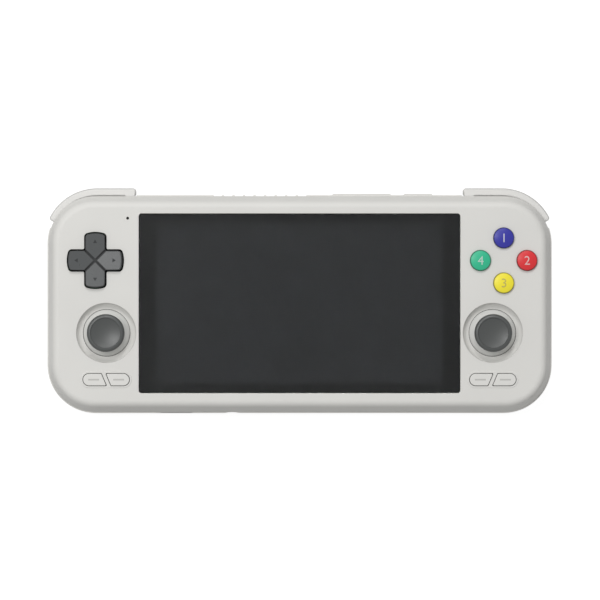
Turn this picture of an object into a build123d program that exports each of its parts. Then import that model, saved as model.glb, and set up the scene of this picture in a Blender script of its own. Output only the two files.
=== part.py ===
from build123d import *
import os
from math import cos, radians, sin, sqrt, tan

# A handheld game console that lies on its back. +X points to the player's right, +Y to the
# shoulder buttons, and +Z out of the screen. The origin is on the flat back, under the middle
# of the case outline. Lengths are in millimetres and angles in degrees.

os.makedirs("parts", exist_ok=True)

# Driving sizes of the case
body_width = 185.1
body_height = 80.1
corner_radius = 17.8
back_depth = 7.0
rim_depth = 1.8
front_depth = 7.0
wall = 1.6
face_wall = 1.8
floor_wall = 1.6
front_step = 0.45
front_round = 2.8
back_round = 3.4
floor_round = 1.4
front_taper = 20
rim_taper = 3
back_taper = 14
ridge_z = back_depth
parting_z = ridge_z + rim_depth
face_z = parting_z + front_depth
face_under_z = face_z - face_wall
side_x = body_width / 2
top_y = body_height / 2

# Clearances that many pieces share
overrun = 2.0
seat_gap = 0.02
pin_gap = 0.02
bore_gap = 0.03

# Places of the controls on the face
control_side_inset = 18.2
control_y = 15.9
stick_side_inset = 22.15
stick_y = -10.5
key_drop = 17.0
screen_y = 0.3
control_x = side_x - control_side_inset
stick_x = side_x - stick_side_inset
key_x = stick_x
key_y = stick_y - key_drop


def outline(inset):
    """The case outline seen from the front, drawn in by an inset."""
    return RectangleRounded(
        body_width - 2 * inset, body_height - 2 * inset, corner_radius - inset
    )


def keep(name, part):
    """Labels one finished piece and writes its file."""
    part.label = name
    export_step(part, f"parts/{name}.step")


def keep_pair(name, part):
    """Writes a right-hand piece and its mirror image on the left."""
    keep("right_" + name, part)
    keep("left_" + name, part.mirror(Plane.YZ))


# Screws: the case screws hold the two shells together, the board screws hold the boards
screw_radius = 1.0
screw_head_radius = 1.9
screw_head_height = 1.2
screw_length = 6.4
screw_hole_radius = 1.15
screw_pilot_radius = 1.01
socket_radius = 0.75
socket_depth = 0.7
small_screw_radius = 0.8
small_head_radius = 1.45
small_head_height = 0.8
small_screw_length = 3.2
small_hole_radius = 0.95
small_pilot_radius = 0.81
small_socket_radius = 0.6
small_socket_depth = 0.4
head_round_share = 0.25


def screw_solid(radius, length, head_radius, head_height, hex_radius, hex_depth):
    """A screw along Z: its head is above zero and its shank hangs below."""
    with BuildPart() as screw:
        with BuildSketch():
            Circle(head_radius)
        extrude(amount=head_height)
        fillet(screw.edges().group_by(Axis.Z)[-1], head_height * head_round_share)
        with BuildSketch():
            Circle(radius)
        extrude(amount=-length)
        with BuildSketch(Plane.XY.offset(head_height)):
            RegularPolygon(hex_radius, 6)
        extrude(amount=-hex_depth, mode=Mode.SUBTRACT)
    return screw.part


# Screen glass: a flat sheet that lies flush in the face
glass_side_margin = 34.0
glass_end_margin = 7.35
glass_width = body_width - 2 * glass_side_margin
glass_height = body_height - 2 * glass_end_margin
glass_thickness = 1.0
glass_corner = 1.1
glass_edge = 0.2
glass_gap = 0.1
glass_z = face_z - glass_thickness

with BuildPart() as screen_glass:
    with BuildSketch(Plane.XY.offset(glass_z)):
        with Locations((0, screen_y)):
            RectangleRounded(glass_width, glass_height, glass_corner)
    extrude(amount=glass_thickness)
    chamfer(screen_glass.edges().group_by(Axis.Z)[-1], glass_edge)
keep("screen_glass", screen_glass.part)

# Display panel: a liquid crystal module bonded to the back of the glass, in a metal tray
panel_side_margin = 5.05
panel_end_margin = 2.0
panel_width = glass_width - 2 * panel_side_margin
panel_height = glass_height - 2 * panel_end_margin
panel_thickness = 2.2
panel_corner = 0.8
panel_rim = 1.2
panel_rim_depth = 0.3
panel_gap = 0.4
panel_z = glass_z - seat_gap - panel_thickness

with BuildPart() as display_panel:
    with BuildSketch(Plane.XY.offset(panel_z)):
        with Locations((0, screen_y)):
            RectangleRounded(panel_width, panel_height, panel_corner)
    extrude(amount=panel_thickness)
    with BuildSketch(Plane.XY.offset(panel_z)):
        with Locations((0, screen_y)):
            RectangleRounded(panel_width - 2 * panel_rim, panel_height - 2 * panel_rim, panel_corner)
    extrude(amount=panel_rim_depth, mode=Mode.SUBTRACT)
keep("display_panel", display_panel.part)

# Stick sizes that the front shell, the boards and the stick pieces share
gimbal_z = 7.0
dish_radius = 10.96
dish_round = 2.25
cup_wall = 0.9
lip_wall = 1.25
skirt_radius = 10.6
skirt_wall = 0.9
skirt_gap = 0.26
dish_floor_z = face_z - dish_round
lip_z = dish_floor_z - lip_wall

# Cross pad sizes that the front shell and the pad share
pad_hole_span = 20.9
pad_hole_arm = 8.2
pad_tip_round = 1.2
pad_hole_tip_round = 1.5
pad_inner_round = 0.5

# Face buttons: four in a diamond
button_radius = 3.75
button_gap = 0.11
button_step_x = 8.47
button_step_y = 8.2
button_places = [
    (0, button_step_y), (button_step_x, 0), (0, -button_step_y), (-button_step_x, 0)
]

# Function keys: two to a side, split by a slanted bar
key_pair_length = 16.95
key_pair_height = 4.46
key_split = 1.64
key_slant = 23.2
key_corner = 0.4
key_gap = 0.16
key_plateau = 0.16
key_plateau_margin = 0.8
key_plateau_round = 0.12

# Microphone hole beside the screen
mic_radius = 0.52
mic_side_inset = 29.95
mic_top_inset = 8.75
mic_x = mic_side_inset - side_x
mic_y = top_y - mic_top_inset

# Posts of the front shell that take the case screws
post_radius = 2.5
post_end_z = 4.72
post_pilot_depth = 4.6
top_post_inset = (38.25, 4.85)
low_post_inset = (36.15, 5.05)
end_post_inset = (8.55, 11.55)
post_places = [
    (side_x - top_post_inset[0], top_y - top_post_inset[1]),
    (side_x - low_post_inset[0], low_post_inset[1] - top_y),
    (side_x - end_post_inset[0], end_post_inset[1] - top_y),
]
post_spots = [(side * x, y) for x, y in post_places for side in (-1, 1)]

# Bosses on the back of the face that carry the two control boards
boss_radius = 1.8
board_thickness = 1.0
board_top_z = 10.0
board_under_z = board_top_z - board_thickness
boss_pilot_depth = 3.4
boss_steps = [(15.2, 15.9), (-7.4, 15.5), (13.6, -9.0), (-9.0, 36.3)]
boss_places = [(stick_x + x, stick_y + y) for x, y in boss_steps]
boss_spots = [(side * x, y) for x, y in boss_places for side in (-1, 1)]


def cross_outline(span, arm, tip_round, inner_round):
    """A cross with arms that end on one circle, its corners rounded."""
    with BuildSketch() as cross:
        Rectangle(span, arm)
        Rectangle(arm, span)
        Circle(span / 2, mode=Mode.INTERSECT)
        by_reach = cross.vertices().sort_by(lambda v: Vector(v).length)
        fillet(by_reach[4:], tip_round)
        by_reach = cross.vertices().sort_by(lambda v: Vector(v).length)
        fillet(by_reach[0:4], inner_round)
    return cross.sketch


def key_outline(side, margin):
    """One function key of the left-hand pair: side is -1 for the outer key, 1 for the inner."""
    height = key_pair_height + 2 * margin
    shift = side * (key_split / 2 - margin / cos(radians(key_slant)))
    lean = height / 2 * tan(radians(key_slant))
    reach = side * key_pair_length
    with BuildSketch() as key:
        SlotOverall(key_pair_length + 2 * margin, height)
        with BuildSketch(mode=Mode.INTERSECT):
            with BuildLine():
                Polyline(
                    (shift - lean, height / 2),
                    (reach, height / 2),
                    (reach, -height / 2),
                    (shift + lean, -height / 2),
                    close=True,
                )
            make_face()
        corners = key.vertices().sort_by(Axis.X)
        fillet(corners[-2:] if side < 0 else corners[0:2], key_corner)
    return key.sketch


def dish_air():
    """The air above a stick's dish, turned about the stick's own axis."""
    with BuildPart() as air:
        with BuildSketch(Plane.XZ):
            with BuildLine():
                Polyline(
                    (dish_radius - dish_round, dish_floor_z),
                    (0, dish_floor_z),
                    (0, face_z + overrun),
                    (dish_radius, face_z + overrun),
                    (dish_radius, face_z),
                )
                RadiusArc(
                    (dish_radius, face_z), (dish_radius - dish_round, dish_floor_z), dish_round
                )
            make_face()
        revolve(axis=Axis.Z)
    return air.part


# Front shell: the moulded face with the screen recess, the stick dishes and every key hole
stiffener_wall = 1.0
stiffener_depth = 1.3
opening_width = panel_width + 2 * panel_gap
opening_height = panel_height + 2 * panel_gap

with BuildPart() as front_shell:
    with BuildSketch(Plane.XY.offset(parting_z)):
        outline(front_step)
    extrude(amount=front_depth, taper=front_taper)
    fillet(front_shell.edges().group_by(Axis.Z)[-1], front_round)
    with BuildSketch(Plane.XY.offset(parting_z)):
        outline(front_step + wall)
    extrude(amount=front_depth - face_wall, taper=front_taper, mode=Mode.SUBTRACT)

    # The rib round the screen opening, on the back of the face
    with BuildSketch(Plane.XY.offset(face_under_z)):
        with Locations((0, screen_y)):
            RectangleRounded(
                opening_width + 2 * stiffener_wall, opening_height + 2 * stiffener_wall, panel_corner
            )
    extrude(amount=-stiffener_depth)

    # Cups under the stick dishes
    with BuildSketch(Plane.XY.offset(lip_z)):
        with Locations((-stick_x, stick_y), (stick_x, stick_y)):
            Circle(dish_radius + cup_wall)
    extrude(amount=face_under_z - lip_z)

    # Posts for the case screws and bosses for the control boards
    with BuildSketch(Plane.XY.offset(post_end_z)):
        with Locations(*post_spots):
            Circle(post_radius)
    extrude(amount=face_under_z - post_end_z)
    with BuildSketch(Plane.XY.offset(board_top_z)):
        with Locations(*boss_spots):
            Circle(boss_radius)
    extrude(amount=face_under_z - board_top_z)

    # Recess for the glass and the opening for the display panel
    with BuildSketch(Plane.XY.offset(face_z)):
        with Locations((0, screen_y)):
            RectangleRounded(
                glass_width + 2 * glass_gap, glass_height + 2 * glass_gap, glass_corner + glass_gap
            )
    extrude(amount=-glass_thickness - seat_gap, mode=Mode.SUBTRACT)
    with BuildSketch(Plane.XY.offset(face_z)):
        with Locations((0, screen_y)):
            RectangleRounded(opening_width, opening_height, panel_corner)
    extrude(amount=-face_wall - stiffener_depth - overrun, mode=Mode.SUBTRACT)

    # Dishes, each cut on its own axis, and the round seats that the skirts turn in
    air = dish_air()
    for x in (-stick_x, stick_x):
        add(air.moved(Location((x, stick_y, 0))), mode=Mode.SUBTRACT)
        with Locations((x, stick_y, gimbal_z)):
            Sphere(skirt_radius + skirt_gap, mode=Mode.SUBTRACT)

    # Cross pad hole and face button holes
    with BuildSketch(Plane.XY.offset(face_z)):
        with Locations((-control_x, control_y)):
            add(cross_outline(pad_hole_span, pad_hole_arm, pad_hole_tip_round, pad_inner_round))
        with Locations(*[(control_x + x, control_y + y) for x, y in button_places]):
            Circle(button_radius + button_gap)
    extrude(amount=-face_wall - overrun, mode=Mode.SUBTRACT)

    # Low plateaus round the function keys, and their holes
    with BuildSketch(Plane.XY.offset(face_z)):
        with Locations((-key_x, key_y), (key_x, key_y)):
            SlotOverall(
                key_pair_length + 2 * key_plateau_margin, key_pair_height + 2 * key_plateau_margin
            )
    extrude(amount=key_plateau)
    fillet(front_shell.edges().group_by(Axis.Z)[-1], key_plateau_round)
    with BuildSketch(Plane.XY.offset(face_z + key_plateau)):
        with Locations((-key_x, key_y)):
            add(key_outline(-1, key_gap))
            add(key_outline(1, key_gap))
        mirror(about=Plane.YZ)
    extrude(amount=-key_plateau - face_wall - overrun, mode=Mode.SUBTRACT)

    # Microphone hole, then the pilot holes from below
    with BuildSketch(Plane.XY.offset(face_z)):
        with Locations((mic_x, mic_y)):
            Circle(mic_radius)
    extrude(amount=-face_wall - overrun, mode=Mode.SUBTRACT)
    with BuildSketch(Plane.XY.offset(post_end_z)):
        with Locations(*post_spots):
            Circle(screw_pilot_radius)
    extrude(amount=post_pilot_depth, mode=Mode.SUBTRACT)
    with BuildSketch(Plane.XY.offset(board_top_z)):
        with Locations(*boss_spots):
            Circle(small_pilot_radius)
    extrude(amount=boss_pilot_depth, mode=Mode.SUBTRACT)
keep("front_shell", front_shell.part)

# Bumpers: curved bars on the upper corners, each on a pin at its inner end
bumper_straight = 14.2
bumper_arc_side_inset = 18.35
bumper_arc_top_inset = 17.15
bumper_arc = 19.6
bumper_bar = 2.9
bumper_end_angle = 24.5
bumper_end_round = 1.1
bumper_edge = 0.7
bumper_low_z = 4.95
bumper_high_z = 8.5
bumper_hinge_inset = 2.2
bumper_hinge_rise = 13.7
bumper_knuckle = 1.6
bumper_arm = 3.4
hinge_pin_radius = 0.8
bay_gap = 0.3
bay_floor_z = 4.8
bay_low_rise = 5.1
bay_swing = 1.3
bay_wall = 1.2
bay_depth_rise = 11.5
bay_hinge_reach = 10.3
bumper_arc_x = side_x - bumper_arc_side_inset
bumper_arc_y = top_y - bumper_arc_top_inset
bumper_inner_x = bumper_arc_x - bumper_straight
bumper_hinge_x = bumper_inner_x + bumper_hinge_inset
bumper_hinge_y = bumper_arc_y + bumper_hinge_rise
bumper_top_y = bumper_arc_y + bumper_arc
bay_low_y = bumper_arc_y + bay_low_rise
bay_depth_y = bumper_arc_y + bay_depth_rise
bay_hinge_end_x = bumper_arc_x + bay_hinge_reach


def bumper_outline():
    """The bumper seen from the front: a flat bar that turns into the case corner."""
    inner = bumper_arc - bumper_bar
    end_x = cos(radians(bumper_end_angle))
    end_y = sin(radians(bumper_end_angle))
    with BuildSketch() as bar:
        with BuildLine():
            Polyline(
                (bumper_arc_x, bumper_arc_y + inner),
                (bumper_inner_x, bumper_arc_y + inner),
                (bumper_inner_x, bumper_top_y),
                (bumper_arc_x, bumper_top_y),
            )
            CenterArc((bumper_arc_x, bumper_arc_y), bumper_arc, 90, bumper_end_angle - 90)
            Line(
                (bumper_arc_x + bumper_arc * end_x, bumper_arc_y + bumper_arc * end_y),
                (bumper_arc_x + inner * end_x, bumper_arc_y + inner * end_y),
            )
            CenterArc((bumper_arc_x, bumper_arc_y), inner, bumper_end_angle, 90 - bumper_end_angle)
        make_face()
        corners = bar.vertices().sort_by(Axis.X)
        fillet([corners[0], corners[1], corners[-1], corners[-2]], bumper_end_round)
    return bar.sketch


with BuildPart() as bumper:
    with BuildSketch(Plane.XY.offset(bumper_low_z)):
        add(bumper_outline())
    extrude(amount=bumper_high_z - bumper_low_z)
    ends = bumper.edges().group_by(Axis.Z)
    fillet(ends[0] + ends[-1], bumper_edge)
    with BuildSketch(Plane.XY.offset(bumper_low_z)):
        with Locations((bumper_hinge_x, bumper_hinge_y)):
            Circle(bumper_knuckle)
            Rectangle(
                bumper_arm,
                bumper_arc_y + bumper_arc - bumper_bar / 2 - bumper_hinge_y,
                align=(Align.CENTER, Align.MIN),
            )
    extrude(amount=bumper_high_z - bumper_low_z)
    with BuildSketch(Plane.XY.offset(bumper_low_z)):
        with Locations((bumper_hinge_x, bumper_hinge_y)):
            Circle(hinge_pin_radius + pin_gap)
    extrude(amount=bumper_high_z - bumper_low_z, mode=Mode.SUBTRACT)
keep_pair("bumper", bumper.part)

# Pins of the bumpers: they stand in the floor of the bay
bumper_pin_foot = 0.9
bumper_pin_top_z = 8.7

with BuildPart() as bumper_pin:
    with BuildSketch(Plane.XY.offset(bay_floor_z - bumper_pin_foot)):
        with Locations((bumper_hinge_x, bumper_hinge_y)):
            Circle(hinge_pin_radius)
    extrude(amount=bumper_pin_top_z - bay_floor_z + bumper_pin_foot)
keep_pair("bumper_pin", bumper_pin.part)

# Triggers: bent plates behind the bumpers, on the back edge of the case
trigger_inner_reach = 8.9
trigger_outer_reach = 9.8
trigger_low_rise = 6.1
trigger_arc = 18.7
trigger_plate = 1.8
trigger_low_z = 0.45
trigger_high_z = 4.7
trigger_edge = 2.4
trigger_corner = 1.0
trigger_swing_y = 1.1
trigger_hinge_rise = 13.4
trigger_hinge_z = 6.5
trigger_knuckle = 1.3
trigger_arm = 3.0
trigger_arm_steps = [1.9, 11.5]
trigger_arm_half = 1.3
trigger_pin_step = 1.5
trigger_pin_length = 13.6
rib_steps = [6.1, 9.7]
rib_width = 1.4
rib_top_z = 7.8
trigger_inner_x = bumper_arc_x - trigger_inner_reach
trigger_outer_x = bumper_arc_x + trigger_outer_reach
trigger_low_y = bumper_arc_y + trigger_low_rise
trigger_top_y = bumper_arc_y + trigger_arc
trigger_hinge_y = bumper_arc_y + trigger_hinge_rise
trigger_arm_places = [trigger_inner_x + step for step in trigger_arm_steps]
trigger_pin_start = trigger_inner_x + trigger_pin_step
trigger_pin_end = trigger_pin_start + trigger_pin_length
rib_places = [trigger_inner_x + step for step in rib_steps]

with BuildPart() as trigger:
    with BuildSketch(Plane.XY.offset(trigger_low_z)) as plan:
        with BuildLine():
            drop = trigger_outer_x - bumper_arc_x
            end_y = bumper_arc_y + sqrt(trigger_arc * trigger_arc - drop * drop)
            Polyline(
                (bumper_arc_x, trigger_top_y),
                (trigger_inner_x, trigger_top_y),
                (trigger_inner_x, trigger_low_y),
                (trigger_outer_x, trigger_low_y),
                (trigger_outer_x, end_y),
            )
            RadiusArc((trigger_outer_x, end_y), (bumper_arc_x, trigger_top_y), -trigger_arc)
        make_face()
        fillet(plan.vertices().group_by(Axis.Y)[0], trigger_corner)
    extrude(amount=trigger_high_z - trigger_low_z)
    low = trigger.edges().group_by(Axis.Z)[0].sort_by(Axis.Y)
    fillet(low[-2:], trigger_edge)
    with BuildSketch(Plane.XY.offset(trigger_low_z + trigger_plate)):
        with BuildLine():
            inner_arc = trigger_arc - trigger_plate
            reach = trigger_outer_x + overrun
            cut = reach - bumper_arc_x
            cut_y = bumper_arc_y + sqrt(inner_arc * inner_arc - cut * cut)
            Polyline(
                (bumper_arc_x, bumper_arc_y + inner_arc),
                (trigger_inner_x - overrun, bumper_arc_y + inner_arc),
                (trigger_inner_x - overrun, trigger_low_y - overrun),
                (reach, trigger_low_y - overrun),
                (reach, cut_y),
            )
            RadiusArc((reach, cut_y), (bumper_arc_x, bumper_arc_y + inner_arc), -inner_arc)
        make_face()
    extrude(amount=trigger_high_z, mode=Mode.SUBTRACT)
    for x in trigger_arm_places:
        with BuildSketch(Plane.YZ.offset(x)):
            with Locations((trigger_hinge_y, trigger_hinge_z)):
                Circle(trigger_knuckle)
                Rectangle(
                    2 * trigger_arm_half,
                    trigger_hinge_z - trigger_low_z - trigger_plate / 2,
                    align=(Align.CENTER, Align.MAX),
                )
        extrude(amount=trigger_arm)
    with BuildSketch(Plane.YZ.offset(trigger_pin_start - overrun)):
        with Locations((trigger_hinge_y, trigger_hinge_z)):
            Circle(hinge_pin_radius + pin_gap)
    extrude(amount=trigger_pin_end - trigger_pin_start + 2 * overrun, mode=Mode.SUBTRACT)
keep_pair("trigger", trigger.part)

# Pins of the triggers: they lie in the ribs of the bay
with BuildPart() as trigger_pin:
    with BuildSketch(Plane.YZ.offset(trigger_pin_start)):
        with Locations((trigger_hinge_y, trigger_hinge_z)):
            Circle(hinge_pin_radius)
    extrude(amount=trigger_pin_end - trigger_pin_start)
keep_pair("trigger_pin", trigger_pin.part)

# Sizes of the top edge: the exhaust slots, the volume rocker and the power button
vent_start_x = -32.0
vent_pitch = 3.875
vent_count = 9
vent_width = 2.9
vent_low_z = 2.6
vent_reach = 1.5
key_row_z = 6.0
side_key_height = 2.8
side_key_gap = 0.18
side_key_proud = 0.45
side_key_edge = 0.4
rocker_x = 22.8
rocker_length = 21.8
power_x = 43.5
power_length = 10.8
seat_top_inset = 2.65
seat_y = top_y - seat_top_inset
seat_start_x = 9.0
seat_end_x = 50.8
seat_low_z = 3.6
seat_high_z = 8.6

# Sizes of the bottom edge: the headphone jack, the charging port, the card slot, the speakers
jack_x = -24.7
jack_z = 5.5
jack_hole_radius = 3.1
jack_scoop_width = 5.8
jack_scoop_depth = 0.42
port_z = 4.6
port_hole_width = 9.5
port_hole_height = 3.7
slot_x = -45.1
slot_width = 11.4
slot_low_z = 7.35
sound_start_x = 64.0
sound_pitch = 2.6
sound_count = 6
sound_width = 1.3
sound_low_z = 2.6
sound_high_z = 5.9

# Sizes of the floor: the intake grille under the fan and the bosses
fan_x = -14.6
fan_top_inset = 28.05
fan_y = top_y - fan_top_inset
grille_radius = 13.0
grille_pitch = 2.6
grille_slot = 1.3
grille_rows = 9
cover_boss_radius = 3.1
cover_boss_top_z = post_end_z - seat_gap
counterbore_radius = 2.15
counterbore_depth = 2.4
main_board_z = 7.4
main_half_x = 50.0
main_top_inset = 6.05
main_depth = 36.0
main_screw_inset = 3.0
main_high_y = top_y - main_top_inset
main_low_y = main_high_y - main_depth
main_screw_places = [
    (side * (main_half_x - main_screw_inset), y)
    for y in (main_high_y - main_screw_inset, main_low_y + main_screw_inset)
    for side in (-1, 1)
]
port_board_z = 6.2
port_board_start_x = -53.2
port_board_end_x = 15.0
port_board_inset = 2.65
port_board_depth = 14.8
port_board_low_y = port_board_inset - top_y
port_board_high_y = port_board_low_y + port_board_depth
port_screw_steps = [(19.2, 8.4), (64.2, 4.4)]
port_screw_places = [
    (port_board_start_x + x, port_board_low_y + y) for x, y in port_screw_steps
]
standoff_radius = 2.1


def bay_outline(margin):
    """The room of one bumper seen from the front, grown by a margin."""
    clear_arc = bumper_arc - bumper_bar - bay_swing - margin
    far_x = side_x + overrun
    far_y = bumper_top_y + overrun
    with BuildSketch() as bay:
        with BuildLine():
            Polyline(
                (bumper_arc_x, bay_low_y - margin),
                (far_x, bay_low_y - margin),
                (far_x, far_y),
                (bumper_arc_x, far_y),
                close=True,
            )
        make_face()
        with Locations((bumper_arc_x, bumper_arc_y)):
            Circle(clear_arc, mode=Mode.SUBTRACT)
        with BuildLine():
            Polyline(
                (bumper_inner_x - bay_gap - margin, bay_depth_y - margin),
                (bay_hinge_end_x + margin, bay_depth_y - margin),
                (bay_hinge_end_x + margin, far_y),
                (bumper_inner_x - bay_gap - margin, far_y),
                close=True,
            )
        make_face()
    return bay.sketch


def pocket_outline(margin):
    """The room of one trigger seen from the back, grown by a margin."""
    with BuildSketch() as pocket:
        with BuildLine():
            Polyline(
                (trigger_inner_x - bay_gap - margin, trigger_low_y - trigger_swing_y - margin),
                (trigger_outer_x + bay_gap + margin, trigger_low_y - trigger_swing_y - margin),
                (trigger_outer_x + bay_gap + margin, bumper_top_y + overrun),
                (trigger_inner_x - bay_gap - margin, bumper_top_y + overrun),
                close=True,
            )
        make_face()
        fillet(pocket.vertices().group_by(Axis.Y)[0], trigger_corner + margin)
    return pocket.sketch


# The room inside the rear cover, less the walls of the bumper bays and trigger pockets
with BuildPart() as rear_room:
    with BuildSketch(Plane.XY.offset(ridge_z)):
        outline(wall)
    extrude(amount=ridge_z - floor_wall, dir=(0, 0, -1), taper=back_taper)
    fillet(rear_room.edges().group_by(Axis.Z)[0], floor_round)
    with BuildSketch(Plane.XY.offset(ridge_z)):
        outline(wall)
    extrude(amount=rim_depth, taper=rim_taper)
    with BuildSketch(Plane.XY.offset(parting_z - rim_depth / 2)):
        outline(wall + rim_depth * tan(radians(rim_taper)))
    extrude(amount=rim_depth)
    with BuildSketch(Plane.XY.offset(bay_floor_z - bay_wall)):
        add(bay_outline(bay_wall))
        mirror(about=Plane.YZ)
    extrude(amount=front_depth, mode=Mode.SUBTRACT)
    with BuildSketch():
        add(pocket_outline(bay_wall))
        mirror(about=Plane.YZ)
    extrude(amount=bay_floor_z + bay_wall, mode=Mode.SUBTRACT)

# Rear cover: the moulded back with the edge openings, the bays and the screw bosses
with BuildPart() as rear_cover:
    with BuildSketch(Plane.XY.offset(ridge_z)):
        outline(0)
    extrude(amount=ridge_z, dir=(0, 0, -1), taper=back_taper)
    fillet(rear_cover.edges().group_by(Axis.Z)[0], back_round)
    with BuildSketch(Plane.XY.offset(ridge_z)):
        outline(0)
    extrude(amount=rim_depth, taper=rim_taper)
    add(rear_room.part, mode=Mode.SUBTRACT)

    # The thick seat behind the rocker and the power button
    seat_depth = top_y - wall / 2 - seat_y
    with BuildSketch(Plane.XY.offset(seat_low_z)):
        with Locations(((seat_start_x + seat_end_x) / 2, seat_y + seat_depth / 2)):
            Rectangle(seat_end_x - seat_start_x, seat_depth)
    extrude(amount=seat_high_z - seat_low_z)

    # Bosses for the case screws and standoffs for the boards
    with BuildSketch(Plane.XY.offset(floor_wall / 2)):
        with Locations(*post_spots):
            Circle(cover_boss_radius)
    extrude(amount=cover_boss_top_z - floor_wall / 2)
    with BuildSketch(Plane.XY.offset(floor_wall / 2)):
        with Locations(*main_screw_places):
            Circle(standoff_radius)
    extrude(amount=main_board_z - seat_gap - floor_wall / 2)
    with BuildSketch(Plane.XY.offset(floor_wall / 2)):
        with Locations(*port_screw_places):
            Circle(standoff_radius)
    extrude(amount=port_board_z - seat_gap - floor_wall / 2)

    # The bumper bays and the trigger pockets, then the ribs that hold the trigger pins
    with BuildSketch(Plane.XY.offset(bay_floor_z)):
        add(bay_outline(0))
        mirror(about=Plane.YZ)
    extrude(amount=front_depth, mode=Mode.SUBTRACT)
    with BuildSketch():
        add(pocket_outline(0))
        mirror(about=Plane.YZ)
    extrude(amount=bay_floor_z, mode=Mode.SUBTRACT)
    for start in rib_places:
        for edge in (start, -start - rib_width):
            with BuildSketch(Plane.YZ.offset(edge)):
                with BuildLine():
                    Polyline(
                        (bay_depth_y - bay_wall / 2, bay_floor_z),
                        (trigger_hinge_y + trigger_knuckle, bay_floor_z),
                        (trigger_hinge_y + trigger_knuckle, rib_top_z),
                        (bay_depth_y - bay_wall / 2, rib_top_z),
                        close=True,
                    )
                make_face()
                with Locations((trigger_hinge_y, trigger_hinge_z)):
                    Circle(hinge_pin_radius + pin_gap, mode=Mode.SUBTRACT)
            extrude(amount=rib_width)
    with BuildSketch(Plane.XY.offset(bay_floor_z)):
        with Locations((bumper_hinge_x, bumper_hinge_y), (-bumper_hinge_x, bumper_hinge_y)):
            Circle(hinge_pin_radius + pin_gap)
    extrude(amount=-bumper_pin_foot - seat_gap, mode=Mode.SUBTRACT)

    # Screw holes
    with BuildSketch():
        with Locations(*post_spots):
            Circle(screw_hole_radius)
    extrude(amount=cover_boss_top_z + overrun, mode=Mode.SUBTRACT)
    with BuildSketch():
        with Locations(*post_spots):
            Circle(counterbore_radius)
    extrude(amount=counterbore_depth, mode=Mode.SUBTRACT)
    with BuildSketch(Plane.XY.offset(main_board_z)):
        with Locations(*main_screw_places):
            Circle(small_pilot_radius)
    extrude(amount=-small_screw_length, mode=Mode.SUBTRACT)
    with BuildSketch(Plane.XY.offset(port_board_z)):
        with Locations(*port_screw_places):
            Circle(small_pilot_radius)
    extrude(amount=-small_screw_length, mode=Mode.SUBTRACT)

    # The top edge: exhaust slots open at the parting line, and the two key openings
    vent_high_z = parting_z + vent_reach
    vent_center_z = (vent_low_z + vent_high_z) / 2
    with BuildSketch(Plane.XZ.offset(-top_y - overrun)):
        for i in range(vent_count):
            with Locations((vent_start_x + vent_pitch * (i + 1 / 2), vent_center_z)):
                SlotOverall(vent_high_z - vent_low_z, vent_width, rotation=90)
    extrude(amount=2 * overrun + 2 * wall, mode=Mode.SUBTRACT)
    with BuildSketch(Plane.XZ.offset(-top_y - overrun)):
        for x, length in ((rocker_x, rocker_length), (power_x, power_length)):
            with Locations((x, key_row_z)):
                RectangleRounded(
                    length + 2 * side_key_gap, side_key_height + 2 * side_key_gap, side_key_edge
                )
    extrude(amount=2 * overrun + 2 * wall, mode=Mode.SUBTRACT)

    # The bottom edge: jack with its finger scoop, charging port, card slot and speaker slots
    with BuildSketch(Plane.XZ.offset(top_y + overrun)):
        with Locations((jack_x, jack_z)):
            Circle(jack_hole_radius)
        with Locations((0, port_z)):
            SlotOverall(port_hole_width, port_hole_height)
        with Locations((slot_x, slot_low_z)):
            Rectangle(slot_width, parting_z - slot_low_z + overrun, align=(Align.CENTER, Align.MIN))
    extrude(amount=-2 * overrun - 2 * wall, mode=Mode.SUBTRACT)
    with BuildSketch(Plane.XY.offset(jack_z - jack_hole_radius)):
        half_scoop = jack_scoop_width / 2
        scoop_radius = (half_scoop * half_scoop / jack_scoop_depth + jack_scoop_depth) / 2
        with Locations((jack_x, jack_scoop_depth - top_y - scoop_radius)):
            Circle(scoop_radius)
    extrude(amount=front_depth, mode=Mode.SUBTRACT)
    sound_center_z = (sound_low_z + sound_high_z) / 2
    with BuildSketch(Plane.XZ.offset(top_y + overrun)):
        for i in range(sound_count):
            for side in (-1, 1):
                with Locations((side * (sound_start_x + sound_pitch * i), sound_center_z)):
                    SlotOverall(sound_high_z - sound_low_z, sound_width, rotation=90)
    extrude(amount=-2 * overrun - 2 * wall, mode=Mode.SUBTRACT)

    # The intake grille under the fan
    with BuildSketch():
        with Locations((fan_x, fan_y)):
            for i in range(grille_rows):
                row_y = grille_pitch * (i - (grille_rows - 1) / 2)
                row_length = 2 * sqrt(grille_radius * grille_radius - row_y * row_y)
                with Locations((0, row_y)):
                    SlotOverall(row_length, grille_slot)
    extrude(amount=floor_wall, mode=Mode.SUBTRACT)
keep("rear_cover", rear_cover.part)

# Case screws: from the back through the rear cover into the posts
screw_one = screw_solid(
    screw_radius, screw_length, screw_head_radius, screw_head_height, socket_radius, socket_depth
)
screw_down = screw_one.rotate(Axis.X, 180)
with BuildPart() as rear_screws:
    for x, y in post_spots:
        add(screw_down.moved(Location((x, y, counterbore_depth - seat_gap))))
keep("rear_screws", rear_screws.part)

# Cross pad: it rocks on a ball at its centre and its flange keeps it behind the face
pad_span = 19.75
pad_arm = 7.0
pad_top_z = 17.6
pad_dip = 0.9
pad_dip_flat = 0.6
pad_edge = 0.55
pad_groove_length = 10.2
pad_groove_width = 0.7
pad_groove_depth = 0.25
pad_low_z = 12.85
pad_flange_radius = 8.6
pad_flange = 0.85
ball_radius = 1.2
ball_z = 11.9
stud_radius = 1.7
stud_top_z = 11.3

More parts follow.
